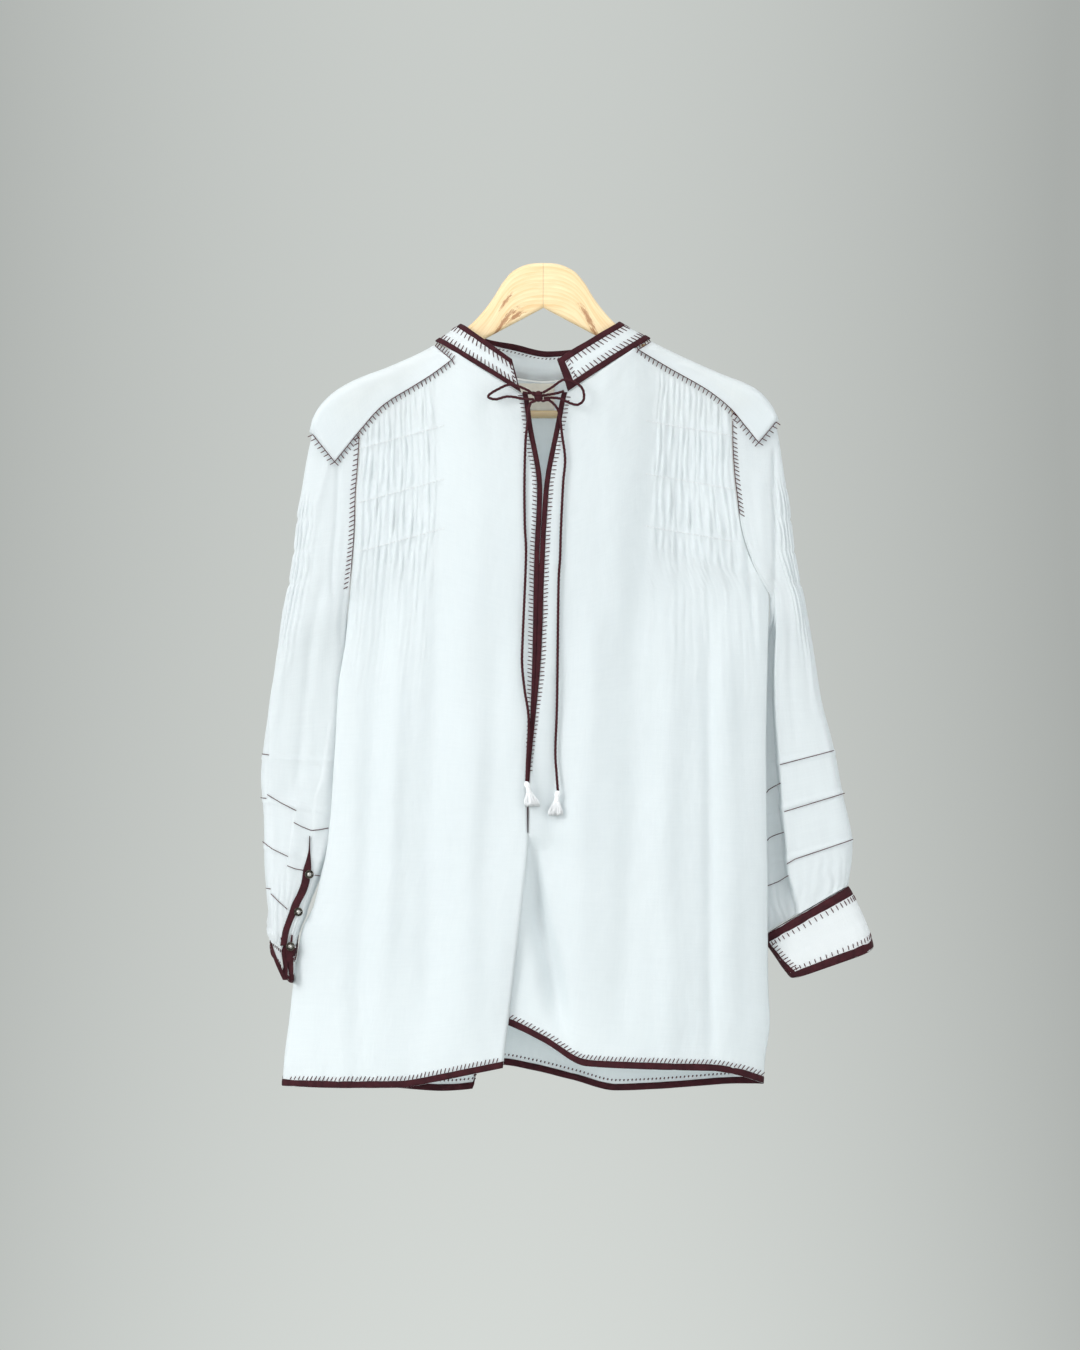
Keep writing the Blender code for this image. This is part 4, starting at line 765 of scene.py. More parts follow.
def shoulder(x):
    """Depth of the shoulder line, over which the panels meet."""
    return read(SHOULDER, "x", "down", x)


NECK_FULLNESS = 23.0
HEM_FULLNESS = 26.0


def fullness(x, down):
    """Half the depth of the body where it hangs free: one swell round the neck that fades
    outwards and downwards, and one that grows from there to the hem."""
    neck = NECK_FULLNESS * ramp(140 - np.abs(x), 0, 80) * (1 - 0.75 * ramp(down, 130, 560))
    return neck + HEM_FULLNESS * ramp(down, 130, 830)


def depth_from_shoulder(x, down, under, radius):
    """Half the depth at a point: a round fold at the shoulder line, then the fullness."""
    below = np.clip(down - shoulder(x) - under, 0, None)
    fold = radius * np.sqrt(1 - (1 - np.clip(below / radius, 0, 1)) ** 2)
    return fold + fullness(x, down) * ramp(below, 0, 30)


def openness(down):
    """1 where the armhole is open, 0 from the underarm down."""
    return np.sqrt(1 - np.clip((down - ARMHOLE_CLOSES) / (UNDERARM - ARMHOLE_CLOSES), 0, 1) ** 2)


def side_profile(x, down):
    """Share of the full depth across the body: 1 in the middle, and at the sides the
    openness of the armhole, along a rounded oblong."""
    left = read(BODY, "down", "left", down)
    right = read(BODY, "down", "right", down)
    across = np.clip(np.abs(2 * (x - left) / (right - left) - 1), 0, 1)
    return np.sqrt(1 - (1 - openness(down) ** 2) * across**SIDE_POWER)


def body_middle(down):
    """The body's own middle plane, which leans forward towards the hem."""
    return -4.0 * ramp(down, UNDERARM, 760)


FOLD_DEPTH = 1.5


def folds(rows, x, down):
    """The sum of the soft folds at a point: each a bell across a slanting line."""
    total = np.zeros(np.broadcast(x, down).shape)
    for top_x, bottom_x, start, end, depth, width in zip(*rows.values()):
        line = mix(top_x, bottom_x, (down - start) / (end - start))
        length = ramp(down, start - 20, start + 90) * (1 - ramp(down, end - 60, end + 40))
        total += FOLD_DEPTH * depth * length * np.exp(-(((x - line) / width) ** 2))
    return total


def edge_of(rows, side, inset=0.0):
    """How far across an edge lies, as a function of the depth, moved right by an inset."""
    return lambda down: read(rows, "down", side, down) + inset


body_left, body_right = edge_of(BODY, "left", HALF_WALL), edge_of(BODY, "right", -HALF_WALL)
slit_left, slit_right = edge_of(SLIT, "left"), edge_of(SLIT, "right")


def gathers(share, x, down, shirring):
    """Puffs between the rows of shirring: a wave across the panel, pinched at each row and
    let go below the last one, where it runs out in long soft pleats."""
    inside = (share - shirring["start"]) / (shirring["end"] - shirring["start"])
    wander = 0.16 * ripple(down / 120, inside * 6, 11) + 0.04 * ripple(down / 30, inside * 9, 12)
    phase = inside * shirring["gathers"] + wander
    wave = (0.5 + 0.5 * np.cos(2 * math.pi * phase)) ** 0.85
    size = 0.72 + 0.5 * ripple(inside * 7, down / 60, 13)
    edge = ramp(inside, -0.01, 0.06) * (1 - ramp(inside, 0.94, 1.01))
    let_go = 1 - 0.62 * ramp(down, SHIRRING_END - 5, 345) - 0.38 * ramp(down, 345, 480)
    slack = shirring["slope"] * (x - shirring["inner"])
    pinch = np.zeros_like(wave)
    for row in shirring["rows"]:
        pinch += np.exp(-(((down - row - slack) / PINCH_WIDTH) ** 2))
    pinch = np.clip(pinch, 0, 1)
    return (GATHER_HEIGHT * wave * size * (1 - 0.92 * pinch) + PINCH_RIDGE * pinch) * edge * let_go


def crumple(x, down, seed, size=1.0):
    """Slow waves and fine creases of pressed thin cotton."""
    return size * (
        0.45 * ripple(x / 60, down / 230, seed) + 0.16 * ripple(x / 22, down / 60, seed + 1)
        + 0.07 * ripple(x / 8, down / 13, seed + 2)
    )


def panel_y(x, down, side, full, rows):
    """A panel's plain form: half the body's depth on its own side of the middle plane, plus
    its folds, which die away at the edges."""
    half = full * depth_from_shoulder(x, down, PANEL_UNDER_STRAP, PANEL_ROUND)
    profile = side_profile(x, down)
    out = np.maximum(half * profile, EDGE_HALF_DEPTH)
    return body_middle(down) + side * (out + folds(rows, x, down) * ramp(profile, 0.2, 0.8))


def front_y(x, down):
    """The front panel, towards the viewer."""
    return panel_y(x, down, -1, 1.0, FRONT_FOLDS)


def back_y(x, down):
    """The back panel, a little flatter."""
    return panel_y(x, down, 1, 0.95, BACK_FOLDS)


def front_top(x):
    """Depth of the front's upper edge, straight between its points."""
    return np.interp(x, FRONT_TOP["x"], FRONT_TOP["down"])


# The right shirred panel: its inner edge, and the line it keeps below the armhole seam.
PANEL_SEAM = ((147, 215, 264, 317, 397), (188.4, 189.4, 197.0, 204.0, 212.0))


def panel_inner(down):
    """The panel's inner edge, a straight line."""
    return 113.5 - 0.062 * (down - 113)


def front_surface(x, down):
    """Depth of the front at any place in view: its plain form, less the gathers of whichever
    half the place is on and less the creases, all of which die away at the upper edge."""
    x, down = np.broadcast_arrays(np.asarray(x, float), np.asarray(down, float))
    top = front_top(x)
    free = ramp(down - top, 8, 24)
    y = front_y(x, down)
    left = (x - body_left(down)) / (slit_left(down) - body_left(down))
    inner, seam = panel_inner(down), np.interp(down, *PANEL_SEAM)
    right = (x - inner) / (seam - inner)
    on_left = x < (slit_left(down) + slit_right(down)) / 2
    y = y - np.where(on_left, gathers(left, x, down, LEFT_SHIRRING), 0) * free
    y = y - np.where(on_left, 0, gathers(right, x, down, RIGHT_SHIRRING)) * free
    quiet = ramp(side_profile(x, down), 0.2, 0.7) * free
    return y - crumple(x, down, 21, 1.5) * quiet


def half_front(shares, edges, hem, rows):
    """Points of a half front: rows are shares of the way from its top to the slit's end
    (0 to 1) and on to its hem (1 to 2).

    Top, hem and side edges all depend on each other, so x and down are worked out in turns
    until they agree."""
    rows, shares = np.meshgrid(rows, shares, indexing="ij")
    x = mix(edges[0](150.0), edges[1](150.0), shares)
    for _ in range(10):
        upper = mix(front_top(x), SLIT_END, np.clip(rows, 0, 1))
        down = np.where(rows <= 1, upper, mix(SLIT_END, read(hem, "x", "down", x), rows - 1))
        x = mix(edges[0](down), edges[1](down), shares)
    return points(x, front_surface(x, down), down)


# The fold below the slit, where the right half laps behind the left one: how far behind it
# lies, how far it laps, and the valley down its front.
FOLD_STEP = 10.0
FOLD_OVERLAP = 17.0
FOLD_COLUMNS = 13
FOLD_PLACES = (0, 0.15, 0.3, 0.5, 0.72, 0.88, 1)
FOLD_DEEP = (0, 0.3, 0.45, 0.52, 0.6, 0.8, 1)
FOLD_BULGE = (0, 0.6, 0.2, 0.0, -0.2, -1.6, 0)
VALLEY_DEPTH = 17.0
VALLEY_LINE = ((575, 592, 654, 703, 790), (-13.0, -12.0, -3.5, 8.5, 22.0))


def spaced(start, end, steps):
    """Even steps from a start to an end, both included."""
    return np.linspace(start, end, steps + 1)


def make_front():
    """The front: two halves that part at the slit and are joined below it by a fold, as one
    grid whose cells in the slit are left out.

    The valley is a bell across a slanting line, wider towards the middle, that grows below
    the slit and runs out above the hem."""
    rows = np.concatenate([spaced(0, 0.4, 74), spaced(0.4, 1, 34)[1:], spaced(1, 2, 44)[1:]])
    left_shares = np.concatenate([
        [0, 0.003, 0.008, 0.014], spaced(0.0, 0.46, 84)[4:], spaced(0.46, 1, 34)[1:]
    ])
    right_shares = np.concatenate([
        spaced(0, 0.55, 40)[:-1], spaced(0.55, 1, 84)[:-4], [0.984, 0.99, 0.996, 1.0]
    ])
    left = half_front(left_shares, (body_left, slit_left), HEM_LEFT, rows)
    right = half_front(right_shares, (slit_right, body_right), HEM_RIGHT, rows)
    grown = np.clip(rows - 1, 0, None)
    step = FOLD_STEP * ramp(grown, 0, 0.09)[:, None]
    overlap = FOLD_OVERLAP * ramp(grown, 0.14, 1.0)[:, None]
    below = (rows > 1)[:, None]
    right[:, :, 0] -= overlap * np.exp(-right_shares / 0.12) * below
    right[:, :, 1] += step * 0.5 * (1 - ramp(right_shares, 0.03, 0.3)) * below
    away = right[..., 0] - np.interp(right[..., 2], *VALLEY_LINE)
    valley = np.exp(-((away / np.where(away < 0, 13.0, 9.0)) ** 2))
    length = ramp(right[..., 2], 560, 650) * (1 - ramp(right[..., 2], 715, 790))
    right[:, :, 1] += VALLEY_DEPTH * valley * length * below
    t = np.linspace(0, 1, FOLD_COLUMNS + 2)[1:-1]
    fold = mix(left[:, -1:], right[:, :1], t[None, :, None])
    fold[:, :, 1] = mix(left[:, -1:, 1], right[:, :1, 1], np.interp(t, FOLD_PLACES, FOLD_DEEP))
    fold[:, :, 0] += np.interp(t, FOLD_PLACES, FOLD_BULGE) * ramp(step, 3, 6) * (overlap > 1)
    grid = np.concatenate([left, fold, right], axis=1)
    slit_row = int(np.argmax(rows >= 1))
    first = left.shape[1] - 1
    left_out = np.zeros((grid.shape[0] - 1, grid.shape[1] - 1), dtype=bool)
    left_out[:slit_row, first : first + FOLD_COLUMNS + 1] = True
    panel = cloth("shirt_front", grid, WHITE, "front", left_out=left_out)
    return panel, grid, left[: slit_row + 1, -1], right[: slit_row + 1, 0], first


RUNNING_PITCH = 3.3
RUNNING_LENGTH = 2.4


def shirring_stitches():
    """White running stitches along each row of shirring, on the row's slanting line."""
    starts, ends = [], []
    for shirring, low, high in ((LEFT_SHIRRING, -184.0, -100.0), (RIGHT_SHIRRING, 102.0, 188.0)):
        for row in shirring["rows"]:
            for side, kept in ((0.0, starts), (RUNNING_LENGTH, ends)):
                at = np.arange(low, high, RUNNING_PITCH) + side
                down = row + shirring["slope"] * (at - shirring["inner"]) + 0.5 * np.sin(at * 1.9)
                kept.append(points(at, front_skin(at, down) - 0.1, down))
    starts, ends = np.concatenate(starts), np.concatenate(ends)
    return stitches("shirring_stitches", starts, ends, TO_VIEWER, WHITE_THREAD, SEAM_THREAD, 0.3)


def strip_at(grid, width=BINDING):
    """The lowest strip of a panel: its upper edge and its hem."""
    edge = grid[-1]
    up = unit(edge - grid[-4])
    return edge - up * width, edge


def whip(line, side, slant, length=STITCH_LENGTH, pitch=STITCH_PITCH, surface=None, seed=3):
    """Starts and ends of whip stitches along a line in (x, down), towards one side.

    side is +1 for the right of the line's own way, -1 for its left."""
    flat = resample(points(line[:, 0], 0 * line[:, 0], line[:, 2]), pitch)
    way = directions(flat)
    across = np.stack([-way[:, 2], 0 * way[:, 0], way[:, 0]], -1) * side
    chance = np.random.default_rng(seed)
    wobble = chance.uniform(-1, 1, (2, len(flat), 1))
    reach = across * length * (1 + 0.12 * wobble[0]) + way * (slant + 0.35 * wobble[1])
    ends = flat + reach
    for spot in (flat, ends):
        spot[:, 1] = surface(spot[:, 0], spot[:, 2])
    return flat, ends


def front_skin(x, down):
    """Depth of the front's outer face, where thread lies on it."""
    return front_surface(x, down) - CLOTH / 2 - 0.25


TO_VIEWER = (0.0, -1.0, 0.0)


# Where the stitches beside the slit start, where they end on each side, and the depths
# between which they grow shorter.
SLIT_STITCHES = {"left": (133, 485), "right": (133, 512)}
SLIT_STITCHES_SHORTEN = (400, 500)


def make_body():
    """The front with its hem and slit tapes and their stitches."""
    front, grid, slit_l, slit_r, first = make_front()
    inner, outer = strip_at(grid)
    tapes, sewn = [], []
    start = first + 1 + FOLD_COLUMNS
    for name, half, skip, seed in (
        ("left", slice(None, first + 1), 6, 31), ("right", slice(start, None), 1, 32),
    ):
        hem = (f"front_hem_binding_{name}",)
        tapes.append(tape(f"hem_tape_front_{name}", inner[half], outer[half], hem, seed=seed))
        line = inner[half][skip:-2]
        a, b = whip(line, -1, 2.4, surface=front_skin)
        near = resample(line, STITCH_PITCH)
        a[:, 1] = np.interp(a[:, 0], near[:, 0], near[:, 1]) - 1.0
        b[:, 1] = a[:, 1] + 0.35
        sewn.append(stitches("sewn", a, b, TO_VIEWER))
    half_open = (slit_r[:, 0] - slit_l[:, 0]) / 2
    width = np.clip(half_open + 0.2, 0.6, SLIT_BINDING)
    for name, edge, way, seed in (("left", slit_l, 1, 5), ("right", slit_r, -1, 6)):
        near = edge - (0, 0.2, 0)
        far = near + points(way * width, 0, 0)
        tapes.append(tape(f"slit_tape_{name}", near, far, (f"slit_binding_{name}",), 2.2, 35))
        low, high = SLIT_STITCHES[name]
        a, b = whip(edge[(edge[:, 2] > low) & (edge[:, 2] < high)], way, -1.0, surface=front_skin, seed=seed)
        b = a + (b - a) * (1 - 0.55 * ramp(a[:, 2], *SLIT_STITCHES_SHORTEN)[:, None])
        sewn.append(stitches("sewn", a, b, TO_VIEWER))
    return front, tapes, sewn


def back_points(shares, rows):
    """Points of the back: rows are shares of the way from its top to its hem."""
    rows, shares = np.meshgrid(rows, shares, indexing="ij")
    x = mix(body_left(150.0), body_right(150.0), shares)
    for _ in range(8):
        top = np.interp(x, BACK_TOP["x"], BACK_TOP["down"])
        down = mix(top, read(HEM_BACK, "x", "down", x), rows)
        x = mix(body_left(down), body_right(down), shares)
    quiet = ramp(side_profile(x, down), 0.2, 0.7) * ramp(down - top, 4, 20)
    return points(x, back_y(x, down) + crumple(x, down, 61, 1.2) * quiet, down)


def make_back():
    """The back with its hem tape. Its stitches show as dots inside and as a row outside."""
    shares = np.concatenate([
        [0, 0.003, 0.008, 0.014], np.linspace(0.02, 0.392, 66), [0.395, 0.398, 0.401, 0.404],
        np.linspace(0.41, 0.98, 104), [0.986, 0.992, 0.997, 1],
    ])
    grid = back_points(shares, np.linspace(0, 1, 168))
    back = cloth("shirt_back", grid, WHITE, "back")
    inner, outer = strip_at(grid)
    hem = tape("hem_tape_back", inner, outer, ("back_hem_binding",), seed=41)
    line = resample(inner[6:-6], STITCH_PITCH)
    sewn = []
    for side in (-1, 1):
        dots = line + (0, side * 0.75, -2.6)
        ends = dots + (0.8, 0, -2.0) if side < 0 else dots + (1.5, 0, 3.4)
        sewn.append(stitches("sewn", dots, ends, (0, side, 0), radius=0.75 if side < 0 else THREAD))
    return back, hem, sewn


# Collar


def collar_point(around, up):
    """A point of the collar: around runs from its left end behind the neck to its right end,
    up from the neck seam (0) straight to the upper edge (1)."""
    around, up = np.broadcast_arrays(np.asarray(around, float), np.asarray(up, float))
    neck = np.stack([read(COLLAR, "around", c, around) for c in ("neck_x", "neck_y", "neck_down")], -1)
    top = np.stack([read(COLLAR, "around", c, around) for c in ("top_x", "top_y", "top_down")], -1)
    return mix(neck, top, up[..., None])


def collar_outward(around, up):
    """Direction out of the collar's own surface."""
    step = 1e-3
    across = collar_point(around + step, up) - collar_point(around - step, up)
    rise = collar_point(around, up + step) - collar_point(around, up - step)
    return unit(np.cross(across, rise))


# Ends of the collar's own tapes, as shares of the way around, with their thickness.
COLLAR_ENDS = {"left": (0.0, 0.007, 1.8), "right": (0.976, 1.0, 2.4)}
# Rows of ticks on the collar: how far up, their reach upwards, outside or inside, and pitch.
COLLAR_TICKS = (
    (NECK_BINDING_SHARE - 0.01, 0.2, 1, 4.9), (1 - TOP_BINDING_SHARE + 0.01, -0.2, 1, 4.9),
    (0.76, -0.04, -1, 4.0),
)


def make_collar():
    """The collar band, bound all round, with ticks along its bindings. Its middle swells and
    sinks by a slow ripple, and lies flat at the shoulders."""
    around = np.linspace(0, 1, 181)
    ups = np.linspace(0.0, 0.94, 21)
    grid = collar_point(around[None], ups[:, None])
    out = collar_outward(np.clip(around[None], 0.002, 0.998), ups[:, None])
    at_shoulder = np.exp(-(((around - 0.28) / 0.05) ** 2)) + np.exp(-(((around - 0.73) / 0.05) ** 2))
    between_tapes = (ramp(ups, 0.2, 0.3) * (1 - ramp(ups, 0.7, 0.8)))[:, None]
    crown = 0.4 * ripple(around[None] * 14, ups[:, None] * 1.5, 71) * between_tapes
    grid = grid + out * (crown * (1 - np.clip(at_shoulder, 0, 1)))[..., None]
    band = cloth("collar_band", grid, WHITE, "collar", wall=1.0)
    outside = collar_outward(np.clip(around, 0.002, 0.998), 0.1) * 1.3
    seam, over_seam = (collar_point(around, up) + outside for up in (0.0, NECK_BINDING_SHARE))
    below_top, top = (collar_point(around, up) for up in (1 - TOP_BINDING_SHARE, 1.0))
    pieces = [
        tape("neck_tape", seam, over_seam, ("neck_binding",), 1.8, 72),
        tape("collar_top_tape", below_top, top, ("collar_top_binding",), seed=73),
    ]
    ups = np.linspace(NECK_BINDING_SHARE * 0.6, 0.92, 12)
    for name, (start, end, thickness) in COLLAR_ENDS.items():
        near, far = collar_point(start, ups), collar_point(end, ups)
        end_binding = (f"collar_end_binding_{name}",)
        pieces.append(tape(f"collar_end_tape_{name}", near, far, end_binding, thickness, 74))
    sewn = []
    fine = np.linspace(0.012, 0.965, 600)
    for up, reach, side, pitch in COLLAR_TICKS:
        run = run_of(collar_point(fine, up))[1:]
        at = np.interp(np.arange(2.0, run[-1], pitch), run, fine[1:])
        a, b = collar_point(at, up), collar_point(at + math.copysign(1.4 / run[-1], reach), up + reach)
        out = collar_outward(at, up) * side
        sewn.append(stitches("sewn", a + out * ON_CLOTH, b + out * ENDS_ON_CLOTH, out))
    ups = np.linspace(0.26, 0.76, 5)
    for start, reach in ((0.008, 0.011), (0.974, -0.012)):
        a, b = collar_point(start, ups), collar_point(start + reach, ups + 0.03)
        out = collar_outward(np.full_like(ups, start), ups)
        sewn.append(stitches("sewn", a + out * ON_CLOTH, b + out * ENDS_ON_CLOTH, out))
    return band, pieces, sewn


# Straps


def strap_point(rows, station, leg):
    """A point of a strap: leg runs from -1 at its front edge over the shoulder line at 0
    to 1 at its back edge."""
    station, leg = np.broadcast_arrays(np.asarray(station, float), np.asarray(leg, float))
    top_x = read(rows, "along", "top_x", station)
    share = np.abs(leg)
    front, back = (
        [read(rows, "along", f"{face}_{part}", station) for part in ("x", "down")]
        for face in ("front", "back")
    )
    low_x, low = np.where(leg < 0, front, back)
    x, down = mix(top_x, low_x, share), mix(shoulder(top_x) + HALF_WALL, low, share)
    half = depth_from_shoulder(x, down, HALF_WALL, STRAP_ROUND)
    return points(x, np.sign(leg) * half, down)


STRAP_TICK = 5.4
# Legs near the shoulder line, where the strap bends most.
CLOSE_LEGS = (0.2, 0.15, 0.11, 0.08, 0.055, 0.035, 0.02, 0.01, 0.004)
# Edges of a strap with their ticks: stations and legs from one end to the other, how many
# points, the ticks' pitch, the face they lie on, and whether they point down or outwards.
STRAP_EDGES = (
    ((0.0, 1.0), (-1.0, -1.0), 240, 4.9, -1.0, "down"), ((0.0, 1.0), (1.0, 1.0), 240, 4.9, 1.0, "down"),
    ((1.0, 1.0), (-1.0, -0.12), 90, 4.9, -1.0, "out"), ((0.0, 0.0), (-1.0, -0.05), 60, 4.4, -1.0, "out"),
)


def make_straps():
    """Both straps, with a slow swell between their edges, and the ticks and seams round them."""
    legs = np.concatenate([
        -np.linspace(1, 0.25, 16), -np.array(CLOSE_LEGS), [0.0], np.array(CLOSE_LEGS)[::-1],
        np.linspace(0.25, 1, 16),
    ])
    stations = np.linspace(0, 1, 61)
    straps, sewn = [], []
    for name, rows in (("left", STRAP_LEFT), ("right", STRAP_RIGHT)):
        grid = strap_point(rows, stations[None], legs[:, None])
        lift = 0.35 * ripple(stations[None] * 4, legs[:, None] * 1.4, 81) * (1 - np.abs(legs) ** 4)[:, None]
        grid[..., 1] += np.sign(legs)[:, None] * lift
        straps.append(cloth(f"shoulder_strap_{name}", grid, WHITE, f"strap_{name}", wall=STRAP_CLOTH))
        for ends, reach, count, pitch, face, pointing in STRAP_EDGES:
            edge = strap_point(rows, np.linspace(*ends, count), np.linspace(*reach, count))
            line = resample(edge, pitch)
            way = directions(line)
            normal = points(0 * way[:, 0], face, 0)
            away = unit(np.cross(way, normal))
            centre = strap_point(rows, 0.5, face * 0.5)
            outwards = away[:, 2] if pointing == "down" else np.sum(away * (line - centre), axis=1)
            away = away * np.sign(outwards)[:, None]
            chance = np.random.default_rng(90)
            slant = way * (0.9 + 0.5 * chance.uniform(-1, 1, (len(way), 1)))
            start = line + normal * ENDS_ON_CLOTH
            end = start + away * STRAP_TICK + slant
            end[:, 1] = np.maximum(end[:, 1], start[:, 1]) if face < 0 else start[:, 1]
            sewn.append(stitches("sewn", start, end, normal))
            sewn.append(seam_line(start + normal * 0.1))
    return straps, sewn


def seam_line(line, radius=SEAM_THREAD):
    """One thread laid along a seam."""
    return tube("sewn", resample(line, 3.0), radius, MAROON_THREAD, sides=5)


# Sleeves


def sleeve_point(rows, around, along, step=None):
    """A point of a sleeve: around runs from the inner edge over the front to the outer
    edge (0.5) and back behind, along from the head (0) to the cuff seam (1) and hem (2).

    Across, a cosine sets the point between the inner and outer edge. Its depth is the
    sleeve's middle plus or minus its half depth, along a rounded oblong that is open at the
    armhole. Where a step is given, the front layer inside the fold drops behind. Under the
    strap the depth is no more than the shoulder's own fold."""
    around, along = np.broadcast_arrays(np.asarray(around, float), np.asarray(along, float))
    turn = {c: read(rows, "along", c, along) for c in rows if c != "along"}
    across = (1 - np.cos(2 * math.pi * around)) / 2
    side = np.where(around < 0.5, -1.0, 1.0)
    down = mix(turn["in_down"], turn["out_down"], across)
    opened = openness(turn["in_down"])
    left = rows is SLEEVE_LEFT
    edge = read(BODY, "down", "left" if left else "right", turn["in_down"])
    edge = edge + (-HALF_WALL if left else HALF_WALL)
    seam_x = mix(edge, turn["in_x"], ramp(turn["in_down"], UNDERARM, UNDERARM + 40))
    power = SIDE_POWER + 12.0 * ramp(along, 0.33, 0.5)
    profile = np.sqrt(
        np.clip((1 - across**power) * (1 - (1 - opened**2) * (1 - across) ** power), 0, 1)
    )
    seam_half = depth_from_shoulder(turn["in_x"], turn["in_down"], PANEL_UNDER_STRAP, PANEL_ROUND)
    half = mix(turn["half"], seam_half, 1 - ramp(turn["in_down"], 300, UNDERARM + 60))
    out = half * profile
    if step is not None:
        fold = read(step, "along", "across", along)
        amount = read(step, "along", "amount", along) * (along > step["along"][0])
        behind = (side < 0) * amount * (1 - ramp(across, fold - 0.03, fold + 0.008))
        out = out * (1 - 1.25 * behind)
    x = mix(seam_x, turn["out_x"], across)
    down = down - side * turn["dip"] * profile
    back_top = shoulder(x) + PANEL_UNDER_STRAP + 6.0
    lift = (side > 0) * (1 - ramp(along, 0.0, 0.2)) * (1 - ramp(across, 0.78, 0.92))
    down = mix(down, np.minimum(down, back_top + along * 200), lift)
    under_strap = depth_from_shoulder(x, down, PANEL_UNDER_STRAP, PANEL_ROUND)
    out = np.where(along < 0.25, np.minimum(out, under_strap), out)
    return points(x, turn["middle"] + side * out, down)


def sleeve_outward(rows, around, along, step=None):
    """Direction out of a sleeve's own surface: across both of its ways, at each point."""
    nudge = 2e-3
    across = sleeve_point(rows, around + nudge, along, step) - sleeve_point(rows, around - nudge, along, step)
    past, before = along + nudge, along - nudge
    further = sleeve_point(rows, around, past, step) - sleeve_point(rows, around, before, step)
    out = unit(np.cross(across, further))
    return -out if rows is SLEEVE_LEFT else out


def sleeve_relief(name, rows, around, along):
    """Height of a sleeve's cloth over its plain form, the sum of: shirring at the head, a
    cosine round the sleeve held flat at each row; tucks, a flat step under each with the
    doubled cloth; gathers at the cuff, another cosine; creases, a bell across a line, or a
    sharp step that runs out where the edge is folded; and slow ripples."""
    length = read(rows, "along", "out_down", along)
    shirring = SLEEVE_SHIRRING[name]
    head = ramp(along, 0.09, 0.15) * (1 - ramp(along, shirring["end"] - 0.02, shirring["end"] + 0.16))
    span = ramp(around, shirring["start"], 0.36) * (1 - ramp(around, 0.66, 0.74))
    turns = around * shirring["gathers"] + 0.12 * ripple(along * 9, around * 7, 101)
    wave = 0.5 + 0.5 * np.cos(2 * math.pi * turns)
    pinch = np.zeros(np.broadcast(around, along).shape)
    for depth in SLEEVE_SHIRRING_ROWS:
        pinch += np.exp(-(((length - depth) / 3.0) ** 2))
    relief = 2.1 * wave * head * span * (1 - 0.7 * np.clip(pinch, 0, 1)) * ramp(along, 0.09, 0.16)
    for tuck in TUCKS[name]:
        past = (along - tuck) * shirring["length"]
        doubled = ramp(past, -0.6, 0.2) * (1 - ramp(past, TUCK_BAND - 1.0, TUCK_BAND + 0.6))
        relief = relief + TUCK_HEIGHT * doubled
    cuff = ramp(along, 0.86, 0.985) * 1.3
    creases = 0.5 + 0.5 * np.cos(2 * math.pi * (around * 24 + 0.3 * ripple(around * 9, along * 14, 103)))
    relief = relief + cuff * creases * (0.7 + 0.4 * ripple(around * 12, along * 5, 104))
    across = (1 - np.cos(2 * math.pi * around)) / 2
    x = mix(read(rows, "along", "in_x", along), read(rows, "along", "out_x", along), across)
    down = mix(read(rows, "along", "in_down", along), length, across)
    for height, width, line in SLEEVE_CREASES[name]:
        line_x, line_down = np.array(line).T
        away = x - np.interp(down, line_down, line_x)
        start, end = line_down[0], line_down[-1]
        near = ramp(down, start - 8, start + 8) * (1 - ramp(down, end - 8, end + 8))
        folded = ramp(away, -0.5, 0.5) * (1 - ramp(away, 1, 14))
        shape = np.exp(-((away / width) ** 2)) if width else folded
        relief = relief + height * shape * near * (around < 0.5)
    slow = 0.6 * ripple(around * 6, along * 4, 105) + 0.22 * ripple(around * 17, along * 13, 106)
    return relief + slow * ramp(along, 0.12, 0.3)


# Seams of the sleeves where they show: how far down the front and the armhole, in how many
# points.
ARMHOLE_SEAM = {"left": (0.5, 0.315, 36), "right": (0.20, 0.20, 24)}


